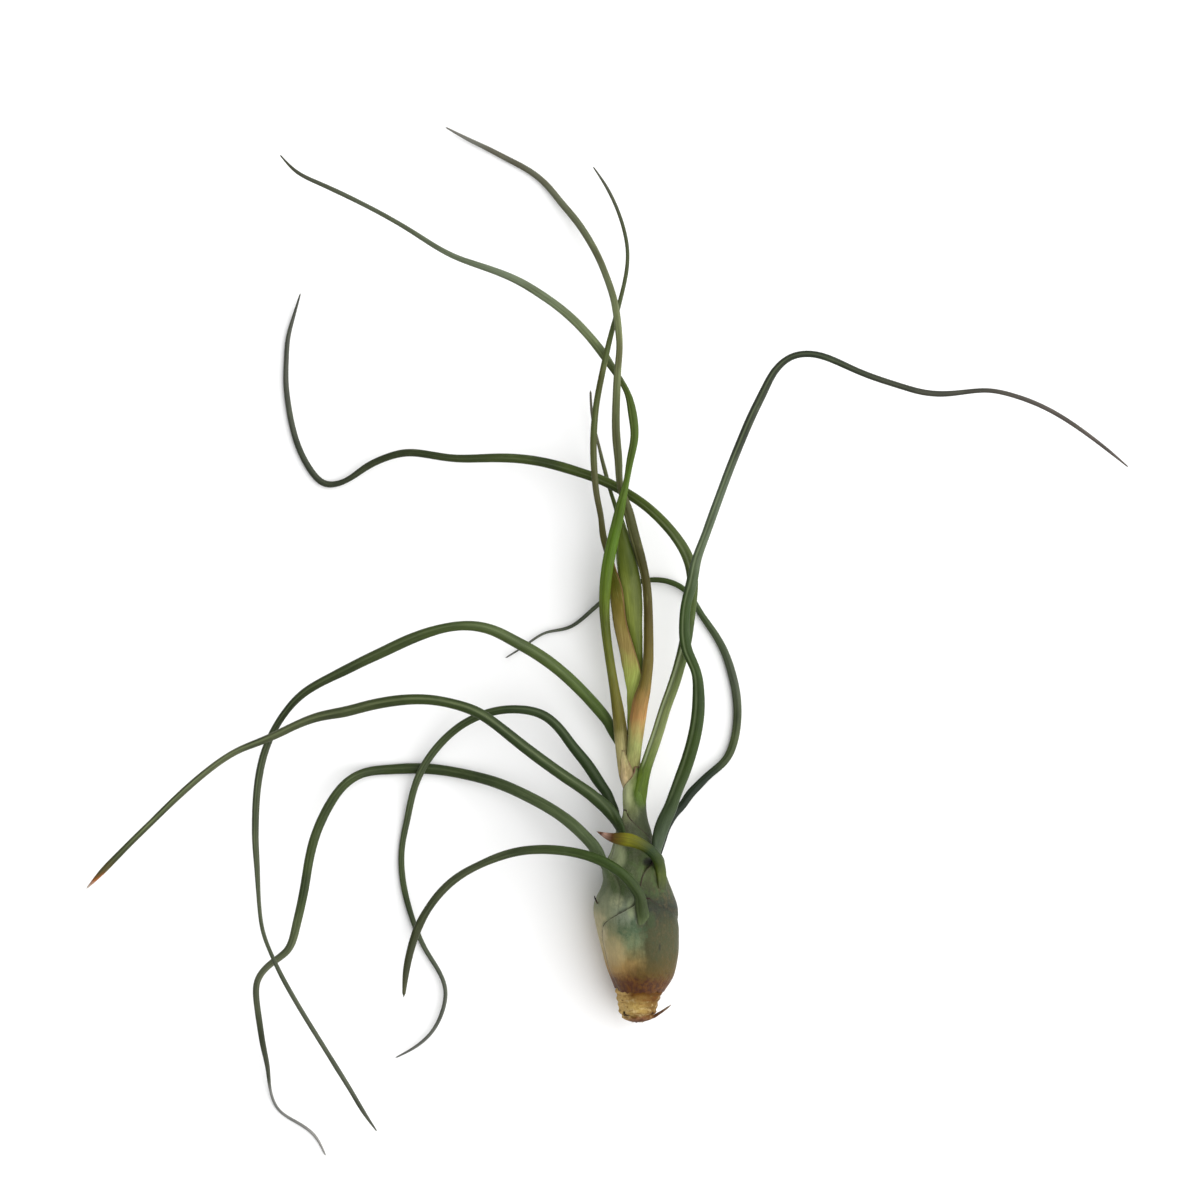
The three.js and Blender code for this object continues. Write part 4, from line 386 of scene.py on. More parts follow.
ROOT = [
    [12.02, -101.15, 9.18, 0.81, 0.76], [12.7, -101.53, 9.18, 0.92, 0.86], [13.6, -101.49, 9.07, 0.89, 0.84],
    [14.6, -100.85, 8.91, 0.79, 0.76], [15.55, -100.23, 8.69, 0.7, 0.68], [16.5, -99.66, 8.42, 0.6, 0.59],
    [17.37, -99.08, 8.21, 0.46, 0.46], [17.92, -98.61, 8.1, 0.27, 0.27],
]
OLD_POINT = [
    [-1.86, -70.25, 16.2, 0.91, 0.38, -111], [-2.23, -69.48, 15.66, 0.75, 0.43, -111],
    [-2.48, -68.9, 15.53, 0.54, 0.38, -111], [-2.58, -68.52, 15.53, 0.3, 0.27, -111],
]
SPIKE = np.array([
    [-9.28, 9.97, 11.88, 0.32, 0.27], [-7.11, 9.8, 12.42, 0.86, 0.7], [-3.59, 9.25, 13.1, 1.24, 1.08],
    [0.46, 8.71, 13.5, 1.67, 1.4], [5.31, 8.12, 13.64, 2.21, 1.62], [9.9, 7.74, 13.64, 2.64, 1.84],
    [13.94, 7.31, 13.64, 2.91, 1.89], [17.98, 6.71, 13.64, 2.97, 1.84], [22.03, 6.07, 13.64, 2.8, 1.67],
    [26.07, 5.47, 13.5, 2.37, 1.46], [30.12, 4.91, 13.37, 1.67, 1.13], [33.63, 4.51, 13.23, 0.81, 0.65],
    [35.79, 4.29, 13.12, 0.38, 0.38],
])


# The clasping bract round the bud: [y, x, z, half width, half depth, first angle, last angle].
CLASP = [
    [-25.25, 7.17, 10.8, 0.81, 0.65, -200, 155], [-21.19, 7.08, 10.91, 0.84, 0.68, -200, 155],
    [-17.67, 7.14, 11.07, 0.86, 0.7, -200, 150], [-15.77, 7.41, 11.34, 1.22, 0.86, -200, 120],
    [-13.06, 8.08, 11.61, 1.94, 1.08, -195, 80], [-10.9, 8.62, 11.88, 2.92, 1.24, -190, 45],
    [-8.46, 9.15, 12.29, 3.86, 1.4, -185, 15], [-6.29, 9.15, 12.83, 4.37, 1.57, -180, 5],
    [-3.86, 9.01, 13.23, 4.64, 1.73, -175, -3], [0.46, 8.6, 13.64, 5.18, 1.97, -170, -13],
    [5.04, 8.06, 13.77, 5.58, 2.21, -165, -20.6], [9.63, 7.52, 13.91, 5.66, 2.38, -160, -21],
    [13.94, 6.71, 13.77, 5.39, 2.16, -150, -19], [18.52, 5.1, 13.5, 4.04, 1.62, -145, -21.5],
    [21.49, 3.08, 13.1, 2.43, 1.19, -155, -8], [23.39, 1.81, 12.69, 1.35, 0.81, -180, 30],
    [25.01, 1.05, 12.47, 1.03, 0.68, -200, 100],
]


# ---------------------------------------------------------------- curves
def spline(u, y, q):
    """Natural cubic spline through (u, y), at q. Past its ends it runs on straight."""
    u, y, q = np.asarray(u, float), np.asarray(y, float), np.asarray(q, float)
    flat = y.ndim == 1
    if flat:
        y = y[:, None]
    n = len(u)
    h = np.diff(u)
    a = np.zeros((n, n))
    b = np.zeros_like(y)
    a[0, 0] = a[-1, -1] = 1
    for i in range(1, n - 1):
        a[i, i - 1], a[i, i], a[i, i + 1] = h[i - 1], 2 * (h[i - 1] + h[i]), h[i]
        b[i] = 6 * ((y[i + 1] - y[i]) / h[i] - (y[i] - y[i - 1]) / h[i - 1])
    m = np.linalg.solve(a, b)
    qc = np.clip(q, u[0], u[-1])
    k = np.clip(np.searchsorted(u, qc) - 1, 0, n - 2)
    s, e = (qc - u[k])[:, None], (u[k + 1] - qc)[:, None]
    hk = h[k][:, None]
    out = (m[k] * e**3 + m[k + 1] * s**3) / (6 * hk) + (y[k] / hk - m[k] * hk / 6) * e + (y[k + 1] / hk - m[k + 1] * hk / 6) * s
    return out[:, 0] if flat else out


def smooth(x, lo=0.0, hi=1.0):
    t = np.clip((np.asarray(x, float) - lo) / (hi - lo), 0, 1)
    return t * t * (3 - 2 * t)


def unit(v):
    return v / np.maximum(np.linalg.norm(v, axis=-1, keepdims=True), 1e-12)


BODY_Y = np.arange(BODY[0, 0], BODY[-1, 0] + 0.05, 0.1)
BODY_S = spline(BODY[:, 0], BODY[:, 1:], BODY_Y)


def body(y):
    """x, z and radius of the bulb at y."""
    return [np.interp(y, BODY_Y, BODY_S[:, k]) for k in range(3)]


def wobble(p, size, seed=0.0, octaves=3):
    """Smooth noise from -1 to 1 at each point, with lumps of about this size in mm."""
    off = Vector((seed * 17.3, seed * 5.1, seed * 9.7))
    out = np.empty(len(p))
    for i, (x, y, z) in enumerate(p):
        v = Vector((x / size[0], y / size[1], z / size[2])) + off
        s, amp = 0.0, 1.0
        for _ in range(octaves):
            s += noise.noise(v) * amp
            v = v * 2.03
            amp *= 0.5
        out[i] = s
    return out


# ---------------------------------------------------------------- how the sheaths nest
def margins(name, y):
    """First and last angle of a sheath at y, in degrees."""
    rows = np.array(SHEATHS[name])
    return np.interp(y, rows[:, 0], rows[:, 1]), np.interp(y, rows[:, 0], rows[:, 2])


def wrap(d):
    return (d + 180) % 360 - 180


def inside(name, theta, y):
    """Distance in mm from the sheath's nearest margin: above 0 where the sheath is."""
    rows = np.array(SHEATHS[name])
    a, b = margins(name, y)
    mid, half = (a + b) / 2, (b - a) / 2
    r = body(y)[2]
    d = (half - np.abs(wrap(theta - mid))) * np.pi / 180 * r
    d = np.where(y > rows[-1, 0], np.minimum(d, 0) - (y - rows[-1, 0]), d)
    return np.where(y < rows[0, 0], np.minimum(d, 0) - (rows[0, 0] - y), d)


def over(name, theta, y):
    """How many sheaths lie over this one at a place, with soft edges."""
    n = np.zeros(np.broadcast(theta, y).shape)
    for other in ORDER:
        if other == name:
            break
        n += smooth(inside(other, theta, y), -FALL, 0.0)
    return n


def mesh_piece(name, verts, faces, mats, face_mat, attrs, node):
    """A smooth-shaded mesh object, in metres, that stands for a node."""
    me = bpy.data.meshes.new(name)
    me.from_pydata([tuple(v) for v in np.asarray(verts) * MM], [], faces)
    me.update()
    for m in mats:
        me.materials.append(m)
    me.polygons.foreach_set("material_index", np.asarray(face_mat, np.int32))
    me.polygons.foreach_set("use_smooth", np.ones(len(me.polygons), bool))
    for key, val in attrs.items():
        a = me.attributes.new(key, "FLOAT_VECTOR", "POINT")
        a.data.foreach_set("vector", np.asarray(val, np.float32).ravel())
    me.validate()
    me.update()
    ob = bpy.data.objects.new(name, me)
    bpy.context.scene.collection.objects.link(ob)
    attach(ob, "root")
    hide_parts(node)
    return ob


class Shape:
    """Gathers grids of points into one mesh."""

    def __init__(self):
        self.v, self.f, self.m = [], [], []
        self.lc, self.lf, self.lg = [], [], []
        self.n = 0

    def add(self, v, lc, lf, lg, faces, mat):
        self.v.append(v)
        self.lc.append(lc)
        self.lf.append(lf)
        self.lg.append(lg)
        self.f += [tuple(int(i) + self.n for i in f) for f in faces]
        self.m += [mat] * len(faces)
        self.n += len(v)

    def make(self, name, mats, node):
        return mesh_piece(name, np.vstack(self.v), self.f, mats, self.m,
                          {"lc": np.vstack(self.lc), "lf": np.vstack(self.lf), "lg": np.vstack(self.lg)}, node)


def ring_faces(rows, cols, closed_ends=True):
    f = []
    for i in range(rows - 1):
        for j in range(cols):
            a, b = i * cols + j, i * cols + (j + 1) % cols
            f.append((a, b, b + cols, a + cols))
    return f


# ---------------------------------------------------------------- a leaf's blade
def blade(shape, table, groove, mat, step=0.9, around=22, seed=0.0, skip=0, tip=2.2, ridge=None):
    """Rolled blade: an oval tube whose two margins meet in a groove. groove is a list of
    [share of the length, direction in degrees (90 is the flat side's own up), depth]."""
    t = np.array(table, float)
    u = np.r_[0, np.cumsum(np.linalg.norm(np.diff(t[:, :3], axis=0), axis=1))]
    n = max(12, int(u[-1] / step))
    q = np.linspace(0, u[-1], n + 1)
    c = spline(u, t[:, :3], q)
    w = np.maximum(np.interp(q, u, t[:, 3]) * 0.35 + spline(u, t[:, 3], q) * 0.65, 0.35)
    d = np.maximum(np.interp(q, u, t[:, 4]) * 0.5 + spline(u, t[:, 4], q) * 0.5, 0.3)
    lean = np.radians(np.interp(q, u, t[:, 5]))
    tan = unit(np.gradient(c, axis=0))
    up = np.stack([np.sin(lean), 0 * lean, np.cos(lean)], 1)
    side = unit(np.cross(tan, up))
    out = unit(np.cross(side, tan))
    share = q / q[-1]
    # slow unevenness of a grown leaf
    w = w * (1 + 0.018 * wobble(np.stack([q, 0 * q, 0 * q], 1), (7, 7, 7), seed + 1))
    d = d * (1 + 0.03 * wobble(np.stack([q, 0 * q, 0 * q], 1), (9, 9, 9), seed + 2))
    # a tip that comes to a point past the last station
    g = np.array(groove, float)
    psi = np.radians(np.interp(share, g[:, 0], g[:, 1]))
    deep = np.interp(share, g[:, 0], g[:, 2])
    half = math.radians(15)
    a_out = np.linspace(half, TAU - half, around)
    q_in = np.linspace(-1, 1, 7)[1:-1]
    a_in = q_in * half * 0.72
    cols = around + len(a_in)
    verts, lc, lf, lg = [], [], [], []
    for i in range(len(q)):
        dep = deep[i]
        # the tube leans in towards the groove, so that its top is a little flattened
        rad_out = np.ones(around) - 0.05 * dep * np.cos(a_out)
        lip = 0.05 * dep * np.exp(-(((a_out - half) / 0.35) ** 2)) - 0.02 * dep * np.exp(-(((TAU - half - a_out) / 0.35) ** 2))
        rad_out = rad_out * (1 - 0.10 * dep * np.exp(-((np.minimum(a_out, TAU - a_out) / 0.33) ** 2))) + lip
        rad_in = (1 - 0.05 * dep) - (0.10 + 0.62 * dep) * dep * np.sqrt(np.maximum(0, 1 - q_in**2))
        ang = np.r_[a_out, a_in] + psi[i]
        rad = np.r_[rad_out, rad_in]
        X, Z = np.cos(ang) * rad, np.sin(ang) * rad
        p = c[i] + side[i] * (w[i] / 2 * X)[:, None] + out[i] * (d[i] / 2 * Z)[:, None]
        verts.append(p)
        rel = np.abs(np.r_[np.minimum(a_out, TAU - a_out), np.abs(a_in)])
        gm = np.exp(-((rel / 0.46) ** 2)) * min(1.0, dep * 1.5)
        lc.append(np.stack([w[i] / 2 * X, d[i] / 2 * Z, np.full(cols, q[i])], 1))
        lf.append(np.stack([np.full(cols, share[i]), gm, np.full(cols, 9.0)], 1))
        lg.append(np.stack([X, Z, np.full(cols, 1.0)], 1))
    # the tip, and the root's end
    verts = np.vstack(verts)
    verts[:, 2] = np.maximum(verts[:, 2], 0.02)
    lc, lf, lg = np.vstack(lc), np.vstack(lf), np.vstack(lg)
    faces = ring_faces(len(q), cols)
    end = c[-1] + tan[-1] * tip * w[-1] * 0.6
    end[2] = max(end[2], 0.05)
    start = c[0] - tan[0] * 0.2
    k = len(verts)
    verts = np.vstack([verts, start, end])
    lc = np.vstack([lc, [0, 0, 0], [0, 0, q[-1]]])
    lf = np.vstack([lf, [0, 0, 9], [1, 0, 9]])
    lg = np.vstack([lg, [0, 0, 1], [0, 0, 1]])
    last = (len(q) - 1) * cols
    for j in range(cols):
        faces.append((k, (j + 1) % cols, j))
        faces.append((k + 1, last + j, last + (j + 1) % cols))
    shape.add(verts, lc, lf, lg, faces, mat)
    return c


# ---------------------------------------------------------------- a leaf's sheath
def sheath(shape, name, mat, rib=None, cols=46, step=0.5, seed=0.0, ragged=0.0, skin=SKIN):
    """Thin scale on the bulb. rib is (angle, y of the blade's root, height, width): where the
    blade runs down into the sheath."""
    rows = np.array(SHEATHS[name])
    y0, y1 = rows[0, 0], rows[-1, 0]
    n = int((y1 - y0) / step) + 1
    ys = np.r_[y0, y0 + 0.12, np.linspace(y0 + 0.35, y1, n)]
    n = len(ys) - 1
    s = np.linspace(0, 1, cols + 1)
    s = 0.5 - 0.5 * np.cos(np.pi * s) * (0.55 + 0.45 * np.abs(np.cos(np.pi * s)) ** 1.0)
    s = (s - s[0]) / (s[-1] - s[0])
    a, b = margins(name, ys)
    k = np.ones(7) / 7
    a = np.convolve(np.pad(a, 3, mode="edge"), k, mode="valid")
    b = np.convolve(np.pad(b, 3, mode="edge"), k, mode="valid")
    th = a[:, None] + (b - a)[:, None] * s[None, :]
    yy = np.repeat(ys[:, None], cols + 1, 1)
    if ragged:
        # the worn lower edge
        low = 1 - smooth(ys, y0, y0 + 3.0)[:, None]
        cut = wobble(np.stack([th.ravel() * 0.2, 0 * th.ravel(), 0 * th.ravel()], 1), (1.6, 1, 1), seed + 5).reshape(th.shape)
        yy = yy + low * ragged * cut
    x, z, r = body(yy)
    arc = np.minimum(s[None, :], 1 - s[None, :]) * (b - a)[:, None] * np.pi / 180 * r
    top = np.maximum(y1 - yy, 0)
    edge = np.minimum(arc, top * 0.9)
    m = 1 - smooth(edge, 0.0, 2.6)
    n_over = over(name, th, yy)
    # under two sheaths and more, the stack is as thick as the grown leaf bases
    rr = r - LAYER * n_over - DEEP * np.maximum(n_over - 1.2, 0.0) - (LAYER - LIP - 0.03) * m
    low = 1 - smooth(ys, y0, y0 + 1.2)[:, None]
    rr = rr - 0.10 * low
    # the stub's sheath stands off the one beneath it
    pocket = np.exp(-((wrap(th - POCKET[0]) * np.pi / 180 * r / POCKET[2]) ** 2) - ((yy - POCKET[1]) / POCKET[3]) ** 2)
    rr = rr + (0.25 if name == "L6" else -0.85 if name != "L5" else 0.0) * pocket
    if rib:
        ang, yr, high, wide = rib
        d = wrap(th - ang) * np.pi / 180 * r
        rise = high * smooth(yy, yr - 10.5, yr + 1.0)
        rr = rr + rise * np.exp(-((d / (wide * (0.75 + 0.45 * smooth(yy, yr, yr - 9.0)))) ** 2)) * (1 - 0.8 * m)
    p = np.stack([x + rr * np.sin(np.radians(th)), yy, z + rr * np.cos(np.radians(th))], -1)
    flat = p.reshape(-1, 3)
    bump = wobble(np.stack([th.ravel() * 0.19, flat[:, 1] * 0.22, 0 * th.ravel()], 1), (2.2, 1.6, 1), seed)
    fine = wobble(np.stack([th.ravel() * 0.19, flat[:, 1] * 0.12, 0 * th.ravel()], 1), (0.55, 0.9, 1), seed + 3, 2)
    lift = (0.10 * bump + 0.026 * fine).reshape(th.shape) * (1 - 0.5 * m)
    outer_r = rr + lift
    th_r = np.radians(th)
    outer = np.stack([x + outer_r * np.sin(th_r), yy, z + outer_r * np.cos(th_r)], -1)
    thick = np.maximum(LIP + (skin - LIP) * (1 - m) - 0.08 * low, 0.08)
    inner_r = outer_r - thick
    inner = np.stack([x + inner_r * np.sin(th_r), yy, z + inner_r * np.cos(th_r)], -1)
    outer[..., 2] = np.maximum(outer[..., 2], 0.0 + 0.25 * n_over)
    inner[..., 2] = np.maximum(inner[..., 2], outer[..., 2] * 0 + 0.0 + 0.25 * n_over + 0.2)
    arcx = (s[None, :] - 0.5) * (b - a)[:, None] * np.pi / 180 * r
    lc_o = np.stack([arcx, 0 * arcx, yy], -1)
    lf_o = np.stack([(yy - y0) / (y1 - y0), 0 * arcx, edge], -1)
    lg_o = np.stack([np.sin(th_r), np.cos(th_r), 0 * arcx], -1)
    v = np.concatenate([outer, inner[:, ::-1]], 1).reshape(-1, 3)
    cat = lambda q: np.concatenate([q, q[:, ::-1]], 1).reshape(-1, 3)
    w = 2 * (cols + 1)
    faces = ring_faces(n + 1, w)
    last = n * w
    for j in range(cols):
        faces.append((j + 1, j, w - 1 - j, w - 2 - j))
        faces.append((last + j, last + j + 1, last + w - 2 - j, last + w - 1 - j))
    shape.add(v, cat(lc_o), cat(lf_o), cat(lg_o), faces, mat)


def clasp(shape, mat, thick=0.34, cols=44):
    """Lower part of the back bract: a thin trough that holds the bud."""
    t = np.array(CLASP)
    y0, y1 = t[0, 0], t[-1, 0]
    n = int((y1 - y0) / 0.45)
    ys = np.linspace(y0, y1, n + 1)
    x, z, rx, rz, a, b = [spline(t[:, 0], t[:, k], ys)[:, None] for k in range(1, 7)]
    s = np.linspace(0, 1, cols + 1)[None]
    s = 0.5 * s + 0.5 * (0.5 - 0.5 * np.cos(np.pi * s))
    th = a + (b - a) * s
    tr = np.radians(th)
    arc = np.minimum(s, 1 - s) * (b - a) * np.pi / 180 * (rx + rz) / 2
    m = 1 - smooth(arc, 0.0, 1.1)
    yy = np.repeat(ys[:, None], cols + 1, 1)
    lump = wobble(np.stack([th.ravel() * 0.04, yy.ravel(), 0 * th.ravel()], 1), (1.0, 3.2, 1), 5.0).reshape(th.shape)
    vein = wobble(np.stack([th.ravel() * 0.06, yy.ravel(), 0 * th.ravel()], 1), (0.35, 9.0, 1), 2.0, 2).reshape(th.shape)
    g = 0.07 * lump * (1 - 0.6 * m) + 0.035 * vein
    wall = np.minimum(thick * (1 - m) + 0.08 * m, 0.45 * np.minimum(rx, rz))
    o = np.stack([x + (rx + g) * np.sin(tr), yy, z + (rz + g) * np.cos(tr)], -1)
    i = np.stack([x + (rx + g - wall) * np.sin(tr), yy, z + (rz + g - wall) * np.cos(tr)], -1)
    v = np.concatenate([o, i[:, ::-1]], 1).reshape(-1, 3)
    cat = lambda q: np.concatenate([q, q[:, ::-1]], 1).reshape(-1, 3)
    lc = np.stack([tr * (rx + rz) / 2, 0 * yy, yy], -1)
    lf = np.stack([(yy - y0) / (y1 - y0), 0 * yy, arc], -1)
    w = 2 * (cols + 1)
    faces = ring_faces(n + 1, w)
    last = n * w
    for j in range(cols):
        faces.append((j + 1, j, w - 1 - j, w - 2 - j))
        faces.append((last + j, last + j + 1, last + w - 2 - j, last + w - 1 - j))
    shape.add(v, cat(lc), cat(lf), cat(0 * lc), faces, mat)


# ---------------------------------------------------------------- node helpers
def rgb(hexa):
    v = [int(hexa[i:i + 2], 16) / 255 for i in (0, 2, 4)]
    return [c / 12.92 if c <= 0.04045 else ((c + 0.055) / 1.055) ** 2.4 for c in v] + [1.0]


class Nodes:
    """A short way to wire a material."""

    def __init__(self, name, rough=0.5, spec=0.4, sheen=0.0, sheen_rough=0.5, sss=0.0):
        self.mat = bpy.data.materials.new(name)
        self.mat.use_nodes = True
        self.t = self.mat.node_tree
        self.t.nodes.clear()
        self.out = self.t.nodes.new("ShaderNodeOutputMaterial")
        self.bsdf = self.t.nodes.new("ShaderNodeBsdfPrincipled")
        self.t.links.new(self.bsdf.outputs[0], self.out.inputs["Surface"])
        self.bsdf.inputs["Roughness"].default_value = rough
        self.bsdf.inputs["Specular IOR Level"].default_value = spec
        self.bsdf.inputs["Sheen Weight"].default_value = sheen
        self.bsdf.inputs["Sheen Roughness"].default_value = sheen_rough

    def new(self, kind, **props):
        n = self.t.nodes.new(kind)
        for k, v in props.items():
            setattr(n, k, v)
        return n

    def put(self, socket, value):
        if isinstance(value, (int, float)):
            socket.default_value = value
        elif isinstance(value, (list, tuple)):
            socket.default_value = value
        else:
            self.t.links.new(value, socket)

    def math(self, op, a, b=0.0, c=None, clamp=False):
        n = self.new("ShaderNodeMath", operation=op, use_clamp=clamp)
        self.put(n.inputs[0], a)
        self.put(n.inputs[1], b)
        if c is not None:
            self.put(n.inputs[2], c)
        return n.outputs[0]

    def map(self, v, lo, hi, to0=0.0, to1=1.0, kind="SMOOTHSTEP"):
        n = self.new("ShaderNodeMapRange", interpolation_type=kind)
        self.put(n.inputs["Value"], v)
        for k, x in (("From Min", lo), ("From Max", hi), ("To Min", to0), ("To Max", to1)):
            self.put(n.inputs[k], x)
        return n.outputs[0]

    def attr(self, name):
        return self.new("ShaderNodeAttribute", attribute_name=name).outputs["Vector"]

    def split(self, v):
        n = self.new("ShaderNodeSeparateXYZ")
        self.put(n.inputs[0], v)
        return n.outputs

    def scale(self, v, xyz):
        n = self.new("ShaderNodeVectorMath", operation="MULTIPLY")
        self.put(n.inputs[0], v)
        n.inputs[1].default_value = xyz
        return n.outputs[0]

    def noise(self, v, scale=1.0, detail=3.0, rough=0.5, dist=0.0):
        n = self.new("ShaderNodeTexNoise")
        self.put(n.inputs["Vector"], v)
        n.inputs["Scale"].default_value = scale
        n.inputs["Detail"].default_value = detail
        n.inputs["Roughness"].default_value = rough
        n.inputs["Distortion"].default_value = dist
        return n.outputs["Fac"]

    def cells(self, v, scale=1.0, feature="F1", rand=1.0):
        n = self.new("ShaderNodeTexVoronoi", feature=feature)
        self.put(n.inputs["Vector"], v)
        n.inputs["Scale"].default_value = scale
        n.inputs["Randomness"].default_value = rand
        return n.outputs["Distance"]

    def ramp(self, v, stops, kind="LINEAR"):
        n = self.new("ShaderNodeValToRGB")
        e = n.color_ramp.elements
        n.color_ramp.interpolation = kind
        while len(e) > 1:
            e.remove(e[-1])
        e[0].position, e[0].color = stops[0][0], rgb(stops[0][1])
        for pos, col in stops[1:]:
            x = e.new(pos)
            x.color = rgb(col)
        self.put(n.inputs[0], v)
        return n.outputs[0]

    def mix(self, f, a, b, mode="MIX"):
        n = self.new("ShaderNodeMix", data_type="RGBA", blend_type=mode)
        self.put(n.inputs[0], f)
        self.put(n.inputs[6], rgb(a) if isinstance(a, str) else a)
        self.put(n.inputs[7], rgb(b) if isinstance(b, str) else b)
        return n.outputs[2]

    def bump(self, h, strength, dist, normal=None):
        n = self.new("ShaderNodeBump")
        n.inputs["Strength"].default_value = strength
        n.inputs["Distance"].default_value = dist
        self.put(n.inputs["Height"], h)
        if normal is not None:
            self.put(n.inputs["Normal"], normal)
        return n.outputs[0]

    def done(self, color, rough=None, normal=None):
        self.put(self.bsdf.inputs["Base Color"], color)
        if rough is not None:
            self.put(self.bsdf.inputs["Roughness"], rough)
        if normal is not None:
            self.put(self.bsdf.inputs["Normal"], normal)
        return self.mat


# ---------------------------------------------------------------- materials
def blade_material(name, stops, pale, groove_col, groove_amt=0.8, speckle=0.12, seed=0.0, dark="041504", deep=0.0):
    """Living leaf: colours along its length, long fibres, silvery scales, a pale groove."""
    n = Nodes(name, rough=0.5, spec=0.22)
    lc, lf, lg = n.attr("lc"), n.split(n.attr("lf")), n.attr("lg")
    mottle = n.noise(n.scale(lc, (0.55, 0.55, 0.16)), 1.0, 3.0, 0.6)
    broad = n.noise(n.scale(lc, (0.2, 0.2, 0.07)), 1.0, 2.0, 0.5)
    fibre = n.noise(n.scale(lc, (5.2, 5.2, 0.16)), 1.0, 3.0, 0.6)
    scale = n.noise(n.scale(lc, (8.5, 8.5, 5.5)), 1.0, 2.0, 0.65)
    along = n.math("ADD", lf[0], n.math("MULTIPLY", n.math("SUBTRACT", mottle, 0.5), 0.05))
    base = n.ramp(along, stops)
    base = n.mix(n.map(broad, 0.42, 0.72, 0.0, 0.45), base, dark)
    base = n.mix(n.map(mottle, 0.55, 0.8, 0.0, 0.16), base, pale)
    base = n.mix(n.map(fibre, 0.40, 0.62, 0.30, 0.0), base, dark)
    base = n.mix(n.map(fibre, 0.60, 0.78, 0.0, 0.16), base, pale)
    base = n.mix(n.map(scale, 0.52, 0.72, 0.0, speckle), base, pale)
    if deep:
        base = n.mix(n.map(lf[0], 0.42, 0.22, 0.0, deep), base, "092104")
    g = n.math("MULTIPLY", n.map(lf[1], 0.30, 0.92), groove_amt)
    g = n.math("MULTIPLY", g, n.map(fibre, 0.32, 0.58, 0.55, 1.0))
    base = n.mix(g, base, groove_col)
    h = n.math("ADD", n.math("MULTIPLY", fibre, 0.7), n.math("MULTIPLY", scale, 0.35))
    rough = n.map(scale, 0.35, 0.7, 0.42, 0.62, "LINEAR")
    return n.done(base, rough, n.bump(h, 0.55, 0.00014))


def spot(n, p, x, y, wide, long, z0=12.0):
    """Mask of a soft mark on the upper side, at x and y in mm."""
    dx = n.math("DIVIDE", n.math("SUBTRACT", p[0], x), wide)
    dy = n.math("DIVIDE", n.math("SUBTRACT", p[1], y), long)
    d = n.math("ADD", n.math("MULTIPLY", dx, dx), n.math("MULTIPLY", dy, dy))
    return n.math("MULTIPLY", n.map(d, 1.0, 0.0), n.map(p[2], z0 - 2.0, z0))


